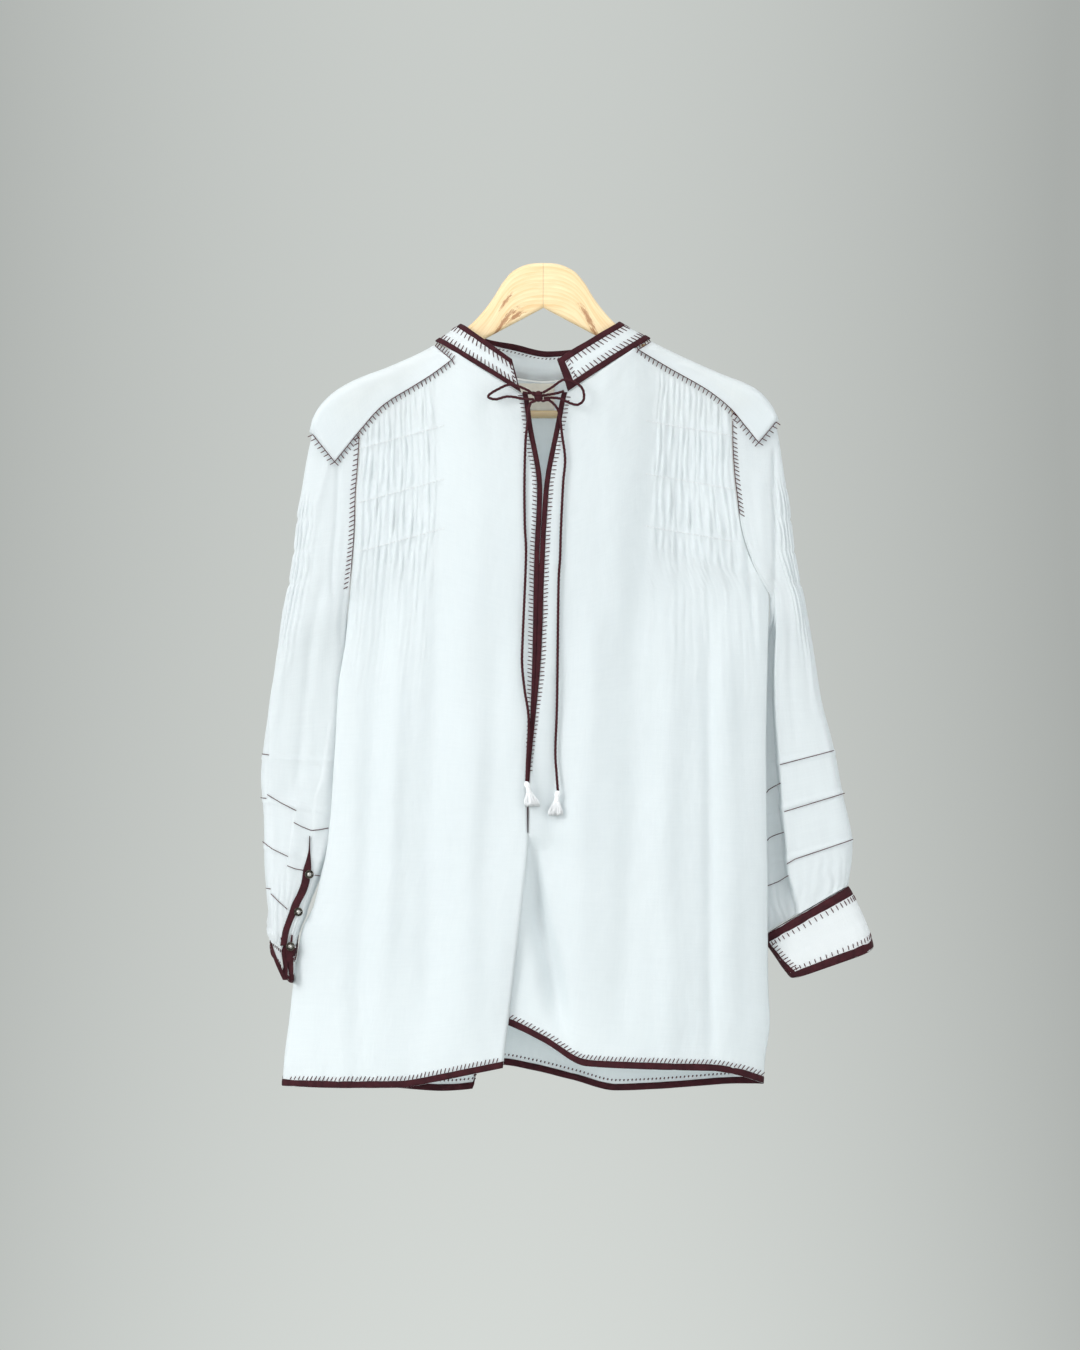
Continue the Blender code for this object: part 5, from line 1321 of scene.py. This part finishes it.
def make_sleeve(name, rows, step):
    """A sleeve with its relief, bulged over the cuff's seam, and the threads of its tucks
    and armhole."""
    around = np.linspace(0, 1, 193)
    along = np.concatenate([np.linspace(0, 0.45, 76)[:-1], np.linspace(0.45, 1.0, 130)])
    along = along[:, None] + np.zeros_like(around)[None]
    if name == "left":
        over = ramp(around, 0.24, 0.27) * (1 - ramp(around, 0.55, 0.62))
        along = along + 0.2 * over[None] * ramp(along, 0.93, 1.0)
    grid = sleeve_point(rows, around[None], along, step)
    out = sleeve_outward(rows, np.clip(around, 0.004, 0.996)[None], np.clip(along, 0.004, 1.99), step)
    grid = grid + out * (2.6 * ramp(along, 0.97, 1.06) * (1 - 0.5 * ramp(along, 1.13, 1.2)))[..., None]
    quiet = ramp(around, 0.0, 0.03) * (1 - ramp(around, 0.97, 1.0))
    grid = grid + out * (sleeve_relief(name, rows, around[None], along) * quiet[None])[..., None]
    underarm = int(np.argmax(read(rows, "along", "in_down", along[:, 0]) >= UNDERARM))
    made = cloth(f"long_sleeve_{name}", grid, SLEEVE_WHITE, f"sleeve_{name}", joined_from=underarm)
    sewn = []
    for route in TUCK_LINES[name]:
        x, down = np.array(route, float).T
        line = resample(points(x, 0, down), 1.5)
        line[:, 1] = smoothed(skin_depth(grid, line[:, 0], line[:, 2], -1) - 0.7, 2)
        sewn.append(seam_line(line))
    for tuck in TUCKS[name]:
        turn = np.linspace(0.53, 0.97, 90)
        line = sleeve_point(rows, turn, tuck, step)
        out_of = sleeve_outward(rows, turn, np.full_like(turn, tuck), step)
        rise = sleeve_relief(name, rows, turn, np.full_like(turn, tuck)) + 0.45
        sewn.append(seam_line(line + out_of * rise[:, None], 0.34))
    seam_end, stitches_end, count = ARMHOLE_SEAM[name]
    steps = np.linspace(0.0, stitches_end, count)
    plain = np.linspace(0.02, seam_end, 60)
    sewn.append(seam_line(sleeve_point(rows, 0.004, plain, step) - (0, 0.9, 0), 0.4))
    for face, first, shift in ((-1, 0.006, 0.095), (1, 0.994, -0.095)):
        a = sleeve_point(rows, first, steps, step)
        b = sleeve_point(rows, first + shift, steps + 0.004, step)
        sewn.append(stitches("sewn", a + (0, face * 0.5, 0), b + (0, face * 0.5, 0), (0, face, 0)))
    return made, grid, sewn


# How far round the rounded end of the right cuff its binding reaches, down the cuff, and the
# three strips across it that make the binding follow the bend.
END_WIDTH = ((1.12, 1.5, 1.97), (0.05, 0.07, 0.11))
END_STRIPS = ((0.0, 0.4), (0.36, 0.72), (0.68, 1.0))
# Where each cuff's seam lies past the sleeve's end, and how far its ticks reach.
CUFF_SEAM = {"left": 0.018, "right": 0.011}
CUFF_TICKS = {"left": 0.105, "right": 0.078}
CUFF_TICK_PITCH = 4.7


def make_cuff(name, rows, opening):
    """A cuff: the lower part of the sleeve's own form, closed but for its opening, with its
    tapes and the ticks along them."""
    seam, tick = CUFF_SEAM[name], CUFF_TICKS[name]
    around = np.mod(opening + np.linspace(0.012, 0.988, 161), 1.0)
    levels = np.linspace(1 + seam, 1.99, 28)
    grid = sleeve_point(rows, around[None], levels[:, None])
    band = cloth(f"cuff_band_{name}", grid, CUFF_WHITE, f"cuff_{name}", wall=STRAP_CLOTH)
    for part, low, high, seed in (("top", 1 + seam, 1.15 + seam, 111), ("hem", 1.84, 2.0, 112)):
        upper, lower = sleeve_point(rows, around, low), sleeve_point(rows, around, high)
        tape(f"cuff_{part}_tape_{name}", upper, lower, (f"cuff_{part}_binding_{name}",), seed=seed)
    sewn = []
    count = int(run_of(grid[0])[-1] / CUFF_TICK_PITCH)
    turn = np.mod(opening + np.linspace(0.03, 0.97, count), 1.0)
    safe = np.where(np.abs(turn - 0.5) < 0.004, 0.505, np.clip(turn, 0.004, 0.996))
    for level, reach in ((1.155 + seam, tick), (1.835, -tick)):
        a, b = sleeve_point(rows, safe, level), sleeve_point(rows, safe + 0.002, level + reach)
        out = sleeve_outward(rows, safe, np.full_like(safe, level))
        sewn.append(stitches("sewn", a + out * ON_CLOTH, b + out * ENDS_ON_CLOTH, out))
    if name == "right":
        levels = np.linspace(1.12, 1.97, 40)
        end = np.interp(levels, *END_WIDTH)
        for part, shares in enumerate(END_STRIPS, 1):
            near, far = (sleeve_point(rows, 0.004 + end * share, levels) for share in shares)
            tape(f"cuff_end_tape_{part}", near, far, (), seed=113)
        steps = np.linspace(1.24, 1.82, 10)
        end = np.interp(steps, *END_WIDTH)
        a, b = sleeve_point(rows, end, steps), sleeve_point(rows, end + 0.035, steps - 0.02)
        sewn.append(stitches("sewn", a - (0, ON_CLOTH, 0), b - (0, ENDS_ON_CLOTH, 0), TO_VIEWER))
    return band, sewn


# The binding of each sleeve's opening, and on the left the three folded ends of the cuff's.
OPENINGS = {
    "left": table(
        "down middle half",
        (573, -233.8, 0.4), (585, -234.0, 0.7), (597, -234.8, 2.4), (607, -236.2, 4.0),
        (618, -237.6, 4.1), (630, -241.6, 4.3), (640, -246.8, 4.2), (651, -251.0, 3.7),
        (660, -254.6, 3.4), (668, -257.2, 3.3), (682, -259.5, 3.2),
    ),
    "right": table(
        "down middle half", (545, 262.0, 1.0), (575, 262.4, 2.6), (610, 263.0, 3.6), (648, 264.0, 3.6),
    ),
}
LEFT_LEGS = (
    table("down middle half", (674, -260.0, 2.6), (690, -258.6, 2.8), (704, -257.2, 2.2), (716, -256.2, 1.3)),
    table("down middle half", (677, -272.8, 0.7), (688, -269.8, 1.6), (702, -264.0, 2.2), (716, -257.8, 2.0)),
    table("down middle half", (667, -250.8, 0.8), (678, -251.6, 1.2), (686, -254.0, 2.6), (694, -253.2, 3.4),
          (704, -252.2, 2.8), (716, -251.0, 1.6)),
)
BUTTONS = {
    "left": ((-233.9, 611.1), (-244.6, 648.4), (-252.5, 682.8)),
    "right": ((262.6, 580.0), (263.6, 622.0), (272.0, 676.0)),
}
BUTTON_RADIUS = 4.4
# Share of the radius inside which a button gets the painted highlight
BUTTON_DOME = 0.5
# A button's profile: share of its radius, and height.
BUTTON_PROFILE = (
    (0.0, 4.6), (0.15, 4.5), (0.31, 4.1), (0.45, 3.3), (0.54, 2.3), (0.59, 1.2), (0.63, 0.6), (0.72, 0.5),
    (0.78, 1.0), (0.84, 1.6), (0.91, 1.8), (0.97, 1.5), (1.0, 0.95), (0.98, 0.45), (0.85, 0.1),
    (0.45, 0.0), (0.30, -0.5), (0.0, -0.6),
)


def skin_depth(grid, x, down, side):
    """Depth of the front (side -1) or back (+1) of a sleeve's points near each place."""
    half = grid.shape[1] // 2
    part = (grid[:, : half + 1] if side < 0 else grid[:, half:]).reshape(-1, 3)
    near = np.hypot(part[None, :, 0] - x[:, None], part[None, :, 2] - down[:, None])
    nearest = np.argsort(near, axis=1)[:, :10]
    found = part[nearest, 1]
    return found.min(axis=1) if side < 0 else found.max(axis=1)


def smoothed(values, reach):
    """Each value replaced by the mean of itself and its neighbours up to a reach away."""
    spread = 2 * reach + 1
    return np.convolve(np.pad(values, reach, mode="edge"), np.ones(spread) / spread, "valid")


def flat_tape(name, rows, grid, side, nodes, stand=1.2, seed=120):
    """A tape that lies on a sleeve, on its middle line and half width down the sleeve."""
    down = np.linspace(rows["down"][0], rows["down"][-1], 60)
    middle, half = read(rows, "down", "middle", down), read(rows, "down", "half", down)
    y = smoothed(skin_depth(grid, middle, down, side) + side * stand, 4)
    inner, outer = points(middle - half, y, down), points(middle + half, y, down)
    return tape(name, inner, outer, nodes, 1.8, seed), down, y


def dome_button(node, x, y, down, side):
    """A turned button: a dome inside a raised ring, as a profile carried round its axis. The faces
    of the dome are light silver, a painted highlight, and those past it dark silver, painted shade."""
    profile = np.array(BUTTON_PROFILE)
    turn = np.linspace(0, 2 * math.pi, 33)
    reach = profile[:, 0, None] * BUTTON_RADIUS
    shape = points(x + reach * np.cos(turn), y + side * profile[:, 1, None], down + reach * np.sin(turn))
    quads = quads_of(*shape.shape[:2], joined_from=0)
    made = add_piece(f"worn_{node}", shape, quads, SILVER_PAINTED_HIGHLIGHT, None, clean=True, replaces=(node,))
    # A second material: the dark silver, painted shade past the dome.
    made.data.materials.append(SILVER_PAINTED_SHADE)
    faces = made.data.polygons
    centres = np.empty(len(faces) * 3)
    faces.foreach_get("center", centres)
    centres = centres.reshape(-1, 3) / MM
    # Faces past the dome get the painted shade; the dome keeps the painted highlight.
    far = np.hypot(centres[:, 0] - x, centres[:, 2] + down) > BUTTON_DOME * BUTTON_RADIUS
    faces.foreach_set("material_index", far.astype(np.int32))
    return made


def make_openings(grids):
    """The bindings of the sleeves' openings, the buttons on them, and a white sewn loop
    beside each button. A button stands where its node does, or on the binding if that is
    further out."""
    loops = []
    for name, side in (("left", -1), ("right", 1)):
        binding = (f"sleeve_opening_binding_{name}",)
        _, down, y = flat_tape(f"opening_tape_{name}", OPENINGS[name], grids[name], side, binding)
        for number, (x, at) in enumerate(BUTTONS[name], 1):
            node = f"button_{name}_{number}"
            low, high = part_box(node)
            seat = (high[1] if side < 0 else low[1]) / MM
            if at < down[-1] + 2:
                seat = side * max(side * seat, side * float(np.interp(at, down, y)) + 0.7)
            dome_button(node, x, seat + side * 0.3, at, side)
            middle = (x + 2.5, seat + side * 0.6, at - 0.6)
            route = ((x + 5.4, seat + 0.4, at + 1), middle, (x - 3, seat, at + 0.4))
            loops.append(tube("loop", smooth_curve(route, 0.8), 0.55, WHITE_THREAD, sides=6))
    round_cuff = sleeve_point(SLEEVE_LEFT, spaced(0, 1, 160)[None], np.linspace(0.95, 2, 60)[:, None])
    for number, leg in enumerate(LEFT_LEGS, 1):
        flat_tape(f"cuff_leg_tape_{number}", leg, round_cuff, -1, (), 0.6 + 1.2 * number, 125)
    return loops


# Hanger

BAR_DOWN = 151.4
BAR_SEAT_DOWN = 158.0
BAR_HALF_LENGTH = 186.0
BAR_RADIUS = 4.0
ARM_HALF_THICKNESS = 6.0
ARM_ROUND = 4.2
ARM_TAPER = 1.4
CORNER_STEPS = 6
ARM_END_SHARES = (0.0, 0.5, 0.9, 0.97)

HANGER_ARCH = table(
    "out top",
    (0.0, 0.0), (8.0, 0.3), (15.5, 1.4), (30.0, 7.8), (40.2, 18.8), (50.4, 35.2), (60.5, 48.6),
    (70.8, 59.7), (84.0, 70.5), (104.0, 83.4),
)


def arm_outline(side):
    """Stations along an arm: distance from the middle, its top and its underside.

    The top is the crown's arch and then follows the shoulder line under the cloth. The
    underside is a straight slope, cut down at the end round the bar's seat."""
    out = np.concatenate([np.linspace(0.04, 104, 90), np.linspace(106, 186, 34), [192.0, 199.0, 207.0]])
    on_shoulder = shoulder(side * out) + 3.4
    arch = read(HANGER_ARCH, "out", "top", out)
    top = mix(arch, on_shoulder, ramp(out, 98, 112))
    under = 45 + 0.53 * out
    under[-3:] = (BAR_SEAT_DOWN, BAR_SEAT_DOWN - 1, BAR_SEAT_DOWN - 5)
    top[-1] += 6.0
    return out, top, under


def make_hanger():
    """Each arm is a section with rounded corners, carried outwards from the mitred middle;
    the bar is a circle carried along."""
    for name, side in (("left", -1), ("right", 1)):
        out, top, under = arm_outline(side)
        half = ARM_HALF_THICKNESS - ARM_TAPER * ramp(out, 150, 183)
        tall, middle = (under - top) / 2, (under + top) / 2
        turn = np.linspace(0, math.pi / 2, CORNER_STEPS)
        turns = np.concatenate([turn + math.pi / 2 * k for k in range(4)] + [[2 * math.pi]])
        y_centre = np.repeat([1, -1, -1, 1, 1], [CORNER_STEPS] * 4 + [1])
        down_centre = np.repeat([1, 1, -1, -1, 1], [CORNER_STEPS] * 4 + [1])
        y = (half - ARM_ROUND)[:, None] * y_centre + ARM_ROUND * np.cos(turns)
        down = middle[:, None] + (tall - ARM_ROUND)[:, None] * down_centre + ARM_ROUND * np.sin(turns)
        shape = points(side * out[:, None], y, down)
        first, last = shape[[0, -1], :-1].mean(axis=1)
        shape = round_ends(shape, first, last, ARM_END_SHARES)
        run = run_of(points(out, 0, middle))
        run = np.concatenate([[0] * 4, run, [run[-1]] * 4])
        tops = np.concatenate([[top[0]] * 4, top, [top[-1]] * 4])
        cover = points(side * run[:, None] + 0 * shape[..., 1], shape[..., 2] - tops[:, None], 0)[..., :2]
        cover[..., 1] += 0.6 * shape[..., 1]
        add_piece(
            f"pine_arm_{name}", shape, quads_of(*shape.shape[:2], joined_from=0), PINE, cover,
            clean=True, replaces=(f"hanger_arm_{name}",),
        )
    turn = np.linspace(0, 2 * math.pi, 25)
    along = np.linspace(-BAR_HALF_LENGTH, BAR_HALF_LENGTH, 60)
    radius = np.full(60, BAR_RADIUS)
    radius[[0, -1]] = 0.0
    along[1], along[-2] = along[0] + 0.5, along[-1] - 0.5
    shape = points(along[:, None], radius[:, None] * np.cos(turn), BAR_DOWN + radius[:, None] * np.sin(turn))
    cover = np.stack(np.meshgrid(turn * BAR_RADIUS, along), -1)[..., ::-1] + (0, 300)
    add_piece(
        "pine_bar", shape, quads_of(60, 25, joined_from=0), DARK_PINE, cover, clean=True,
        replaces=("hanger_bar",),
    )


# Ties and tassels

TIE_FRONT = 3.4
TIE_ROUTES = {
    "tie_loop_left": (
        (-8.5, 134.0, 4.0), (-17.0, 128.0, 5.0), (-32.5, 123.0, 6.0), (-46.0, 128.0, 6.0),
        (-55.2, 134.6, 6.0), (-48.0, 137.6, 5.0), (-35.5, 134.8, 4.0), (-20.0, 137.0, 4.0),
        (-9.4, 137.8, 4.0),
    ),
    "tie_loop_right": (
        (-0.5, 131.0, 4.0), (8.0, 126.0, 5.0), (19.5, 118.4, 6.0), (30.0, 120.0, 6.0),
        (38.6, 127.0, 6.0), (40.0, 137.6, 6.0), (34.1, 143.0, 6.0), (25.9, 141.2, 5.0),
        (17.0, 137.0, 4.0), (8.0, 136.0, 4.0), (0.2, 136.4, 4.0),
    ),
    "tie_strand_left": ((-20.4, 130.6, -1.0), (-15.6, 131.4, 0.6), (-9.8, 131.0, 2.0), (-6.5, 132.0, 3.0)),
    "tie_strand_right": (
        (20.2, 129.2, -1.0), (14.0, 131.2, 0.6), (7.0, 132.6, 1.4), (0.3, 133.6, 2.2), (-2.5, 134.0, 2.6),
    ),
    "tie_cord_left": (
        (-5.8, 137.2, 3.6), (-8.6, 139.4, 4.4), (-12.9, 141.6, 4.6), (-15.2, 150.0, 2.6), (-16.0, 161.0, 0.6),
        (-18.0, 181.0, 0.0), (-19.0, 222.0, 0.0), (-18.6, 263.0, 0.0), (-17.5, 295.0, 0.0),
        (-20.8, 377.0, 0.0), (-21.3, 402.0, 0.0), (-18.8, 427.0, 0.0), (-14.7, 457.0, 0.0),
        (-16.4, 500.0, 1.2), (-17.0, 518.6, 4.6),
    ),
    "tie_cord_right": (
        (-3.8, 137.6, 3.6), (-0.4, 139.2, 4.8), (5.5, 138.6, 7.0), (13.5, 146.4, 4.0), (16.5, 156.6, 1.0),
        (18.5, 173.0, 0.0), (21.5, 197.0, 0.0), (19.5, 222.0, 0.0), (17.5, 263.0, 0.0),
        (16.5, 295.0, 0.0), (14.9, 325.6, 0.0), (13.5, 437.0, 0.0), (11.8, 487.0, 0.0), (13.0, 510.0, 1.4),
        (14.3, 527.8, 4.6),
    ),
}
# The knot's place, its windings' half width and height, and the half sizes of its core
KNOT = (-5.0, 134.6)
KNOT_FORWARD = 2.6
KNOT_WINDS = (3.1, 2.4, 7.2)
KNOT_TURNS = 2.6
KNOT_CORE = (4.3, 3.0, 5.6)
# Each tassel's place and how far it leans, in millimetres across for each one down
TASSELS = {"left": (-17.0, 518.2, 0.24), "right": (14.0, 527.4, -0.09)}
TASSEL_FORWARD = 4.6
TASSEL_LENGTH = 26.0
TASSEL_THREADS = 170
CORD_RADIUS = 1.3


def tie_y(x, down):
    """Depth of the tie's own plane: a cord lying on the front of the shirt."""
    return np.minimum(front_y(x, down), -24.0 * (1 - ramp(down, 140, 400)) - 6) - TIE_FRONT


def tie_line(route, spacing=1.2):
    """A tie as a smooth curve: its route's last column is how far it stands off the plane."""
    x, down, ahead = np.array(route, dtype=float).T
    return smooth_curve(points(x, tie_y(x, down) - ahead, down), spacing)


TASSEL_RINGS = 7
TASSEL_HEAD = (
    (0.0, -0.6), (1.0, -0.5), (1.9, 0.2), (2.7, 1.8), (3.0, 3.6), (2.6, 5.4), (2.0, 6.3), (2.3, 6.9),
    (2.4, 7.5), (2.0, 8.1), (2.4, 9.4), (2.2, 11.0), (0.0, 11.4),
)


def make_tassel(name):
    """A bound head and wound neck, turned from a profile of radius and depth, over a skirt
    of loose threads. A thread's distance from the middle is the root of a chance share, which
    fills the skirt evenly, and grows down the skirt."""
    x, down, lean = TASSELS[name]
    y = float(tie_y(x, down)) - TASSEL_FORWARD
    turn = np.linspace(0, 2 * math.pi, 25)
    profile = np.array(TASSEL_HEAD)
    shape = points(
        x + lean * profile[:, 1, None] + profile[:, 0, None] * np.cos(turn),
        y + profile[:, 0, None] * np.sin(turn), down + profile[:, 1, None] + 0 * turn,
    )
    quads = quads_of(*shape.shape[:2], joined_from=0)
    head = add_piece("head", shape, quads, WHITE_THREAD, None, clean=True)
    chance = np.random.default_rng(140 if name == "left" else 141)
    turn = chance.uniform(0, 2 * math.pi, TASSEL_THREADS)
    out = np.sqrt(chance.uniform(0.0, 1.0, TASSEL_THREADS))
    length = TASSEL_LENGTH * (1 - 0.10 * chance.uniform(0, 1, TASSEL_THREADS))
    share = np.linspace(0, 1, TASSEL_RINGS)[None]
    spread = (1.9 + 5.6 * ramp(share, 0.0, 0.8)) * out[:, None]
    wave = 0.3 * np.sin(share * 9 + turn[:, None] * 5)
    line = points(
        x + lean * (8 + share * 18) + spread * np.cos(turn)[:, None] + wave,
        y + 0.62 * spread * np.sin(turn)[:, None],
        down + 7.5 + share * (length[:, None] - 7.5),
    )
    corner = np.linspace(0, 2 * math.pi, 5)
    thick = 0.36 * np.array([0.6, 1, 1, 1, 1, 0.9, 0.0])
    ring = points(np.cos(corner), np.sin(corner), 0 * corner)
    shape = line[:, :, None] + ring[None, None] * thick[None, :, None, None]
    quads = repeated(quads_of(TASSEL_RINGS, 5, joined_from=0), TASSEL_THREADS, TASSEL_RINGS * 5)
    skirt = add_piece("skirt", shape, quads, WHITE_THREAD, None, clean=True)
    made = merge(f"thread_tassel_{name}", [head, skirt])
    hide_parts(f"tassel_{name}")
    return made


def make_ties():
    """Both tails, both loops, the strands from the neck, and the knot that holds them: a
    helix of windings round an egg-shaped core."""
    lines = {node: tie_line(route) for node, route in TIE_ROUTES.items()}
    cords = {
        node: tube(f"cord_{node}", line, CORD_RADIUS, MAROON_CORD, 3, 1.5, 12, (node,))
        for node, line in lines.items()
    }
    turn = np.linspace(0, 2 * math.pi * KNOT_TURNS, 60)
    x, down = KNOT
    y = float(tie_y(x, down)) - KNOT_FORWARD
    wide, deep, tall = KNOT_WINDS
    coil = points(x + wide * np.cos(turn), y + deep * np.sin(turn), down + tall * (turn / turn[-1] - 0.5))
    windings = tube("windings", coil, CORD_RADIUS, MAROON_CORD, 0, 0, 10)
    tilt, round_it = np.meshgrid(np.linspace(0, math.pi, 15), np.linspace(0, 2 * math.pi, 21), indexing="ij")
    wide, deep, tall = KNOT_CORE
    core = points(
        x + wide * np.sin(tilt) * np.cos(round_it), y + deep * np.sin(tilt) * np.sin(round_it),
        down - tall * np.cos(tilt),
    )
    quads = quads_of(*core.shape[:2], joined_from=0)
    core = add_piece("core", core, quads, MAROON_CORD, None, clean=True)
    knot = merge("cord_knot", [windings, core])
    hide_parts("tie_knot")
    for side in ("left", "right"):
        for kind, far_end, lay, hung in (
            ("cord", "fitting", "hanging", [make_tassel(side)]), ("loop", "object", "loose", ()),
        ):
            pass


def make_label():
    """A bare label on the inside of the back, as far forward as the back reaches in each of
    its rows, with a slight ripple."""
    x = np.linspace(-25.0, 11.0, 25)
    down = np.linspace(119.5, 146.5, 19)
    x, down = np.meshgrid(x, down)
    y = back_y(x, down).min(axis=1, keepdims=True) - 2.1 + 0.25 * ripple(x / 14, down / 20, 151)
    made = cloth("bare_label", points(x, y, down), CREAM, "label", wall=0.8)
    return made


# Camera, light and floor


def aim(made, place, at):
    """Put a camera or a lamp in its place, looking at a point."""
    made.location = place
    made.rotation_euler = (Vector(at) - Vector(place)).to_track_quat("-Z", "Y").to_euler()
    bpy.context.collection.objects.link(made)


CAMERA_BACK = 8.0
VIEW_HEIGHT = 1.35
VIEW_MIDDLE = (-0.0035, -0.412)
SENSOR = 24.0


def add_camera():
    """Straight on, far enough back that both sleeves are seen without a slant. The lens is
    the sensor's height times the distance over the height in view."""
    lens = bpy.data.cameras.new("view")
    lens.sensor_fit = "VERTICAL"
    lens.sensor_height = SENSOR
    lens.lens = SENSOR * CAMERA_BACK / VIEW_HEIGHT
    lens.clip_end = 60.0
    camera = bpy.data.objects.new("view", lens)
    aim(camera, (VIEW_MIDDLE[0], -CAMERA_BACK, VIEW_MIDDLE[1]), (VIEW_MIDDLE[0], 0, VIEW_MIDDLE[1]))
    bpy.context.scene.camera = camera


# Strength of the pale sky, then each lamp's place, size and power, all in metres and watts.
SKY = 0.78
LAMPS = (
    ("left_lamp", (-3.6, -2.8, 1.4), (2.0, 2.4), 126.0),
    ("right_lamp", (3.4, -3.6, 0.9), (2.6, 2.6), 40.0),
    ("top_lamp", (0.0, -0.6, 3.4), (3.0, 2.0), 24.0),
    ("front_lamp", (0.0, -9.4, 0.7), (2.6, 2.6), 120.0),
)
SHIRT_MIDDLE = (0, 0, -0.42)
FLOOR_DOWN = -1.35
# The backdrop's tone, painted light that falls off towards its sides: in the middle, up the picture, up it
# squared, across squared, across.
BACKDROP_PAINTED_LIGHT = (0.62, -0.042, 0.032, 0.17, 0.03)
BACKDROP_REACH = (0.067, 0.084)


def add_light(name, place, size, power):
    """A soft oblong lamp that looks at the shirt's middle."""
    lamp = bpy.data.lights.new(name, "AREA")
    lamp.shape = "RECTANGLE"
    lamp.size, lamp.size_y = size
    lamp.energy = power
    aim(bpy.data.objects.new(name, lamp), place, SHIRT_MIDDLE)


def add_surroundings():
    """Large soft lamps, an even pale sky, and a pale floor well below the shirt.

    The camera sees a backdrop whose tone, painted light that falls off towards its sides, is a sum:
    a middle value, a slope and a square up the picture, less a square and a slope across it."""
    for lamp in LAMPS:
        add_light(*lamp)
    world = bpy.data.worlds.new("studio")
    bpy.context.scene.world = world
    world.use_nodes = True
    tree = world.node_tree
    tree.nodes.clear()

    def node(kind, wires, **settings):
        """A node of the sky, with its settings, and its inputs set or wired by name."""
        made = tree.nodes.new(kind)
        for key, value in settings.items():
            setattr(made, key, value)
        for key, value in wires.items():
            if isinstance(value, bpy.types.NodeSocket):
                tree.links.new(value, made.inputs[key])
            else:
                made.inputs[key].default_value = value
        return made.outputs

    def maths(kind, a, b):
        """One step of arithmetic."""
        return node("ShaderNodeMath", {0: a, 1: b}, operation=kind)[0]

    way = node("ShaderNodeTexCoord", {})["Generated"]
    parts = node("ShaderNodeSeparateXYZ", {"Vector": way})
    across = maths("MULTIPLY", parts["X"], 1 / BACKDROP_REACH[0])
    up = maths("MULTIPLY", parts["Z"], 1 / BACKDROP_REACH[1])
    middle, up_slope, up_square, across_square, across_slope = BACKDROP_PAINTED_LIGHT
    tone = maths("ADD", maths("MULTIPLY", up, up_slope), middle)
    tone = maths("ADD", tone, maths("MULTIPLY", maths("MULTIPLY", up, up), up_square))
    tone = maths("SUBTRACT", tone, maths("MULTIPLY", maths("MULTIPLY", across, across), across_square))
    tone = maths("SUBTRACT", tone, maths("MULTIPLY", across, across_slope))
    tone = node("ShaderNodeClamp", {"Value": tone, "Min": 0.42, "Max": 0.72})[0]
    # The backdrop the camera sees, in the tone of its painted light.
    seen = node("ShaderNodeBackground", {"Color": (0.955, 1.0, 0.962, 1), "Strength": tone})[0]
    lit = node("ShaderNodeBackground", {"Color": (0.97, 0.99, 1.0, 1), "Strength": SKY})[0]
    camera_ray = node("ShaderNodeLightPath", {})["Is Camera Ray"]
    either = node("ShaderNodeMixShader", {0: camera_ray, 1: lit, 2: seen})[0]
    node("ShaderNodeOutputWorld", {"Surface": either})

    floor_mesh = bpy.data.meshes.new("floor")
    corners = [(x, y, FLOOR_DOWN) for x, y in ((-5, -4), (5, -4), (5, 3), (-5, 3))]
    floor_mesh.from_pydata(corners, [], [(0, 1, 2, 3)])
    pale = Finish("pale_floor", (0.70, 0.72, 0.70), 0.8)
    mottled = pale.noise(pale.place("Object"), 2.0)
    floor_mesh.materials.append(pale.wear(pale.tint(mottled, (0.66, 0.68, 0.66), (0.74, 0.76, 0.74))))
    floor = bpy.data.objects.new("floor", floor_mesh)
    bpy.context.collection.objects.link(floor)


def build():
    """The camera and the cords first, then the hanger, the panels from the middle outwards,
    the sewing and the surroundings."""
    add_camera()
    make_ties()
    make_hanger()
    front, front_tapes, sewn = make_body()
    back, back_hem, more = make_back()
    sewn += more
    collar, collar_tapes, more = make_collar()
    sewn += more
    straps, more = make_straps()
    sewn += more
    sleeves, grids, cuffs = {}, {}, {}
    for name, rows, step, opening in (
        ("left", SLEEVE_LEFT, None, 0.25), ("right", SLEEVE_RIGHT, RIGHT_STEP, 0.0),
    ):
        sleeves[name], grids[name], more = make_sleeve(name, rows, step)
        sewn += more
        cuffs[name], more = make_cuff(name, rows, opening)
        sewn += more
    merge("white_loops", make_openings(grids))
    merge("maroon_stitching", sewn)
    shirring_stitches()
    make_label()
    add_surroundings()


build()
bpy.context.scene.view_settings.view_transform = "Standard"
bpy.context.view_layer.update()
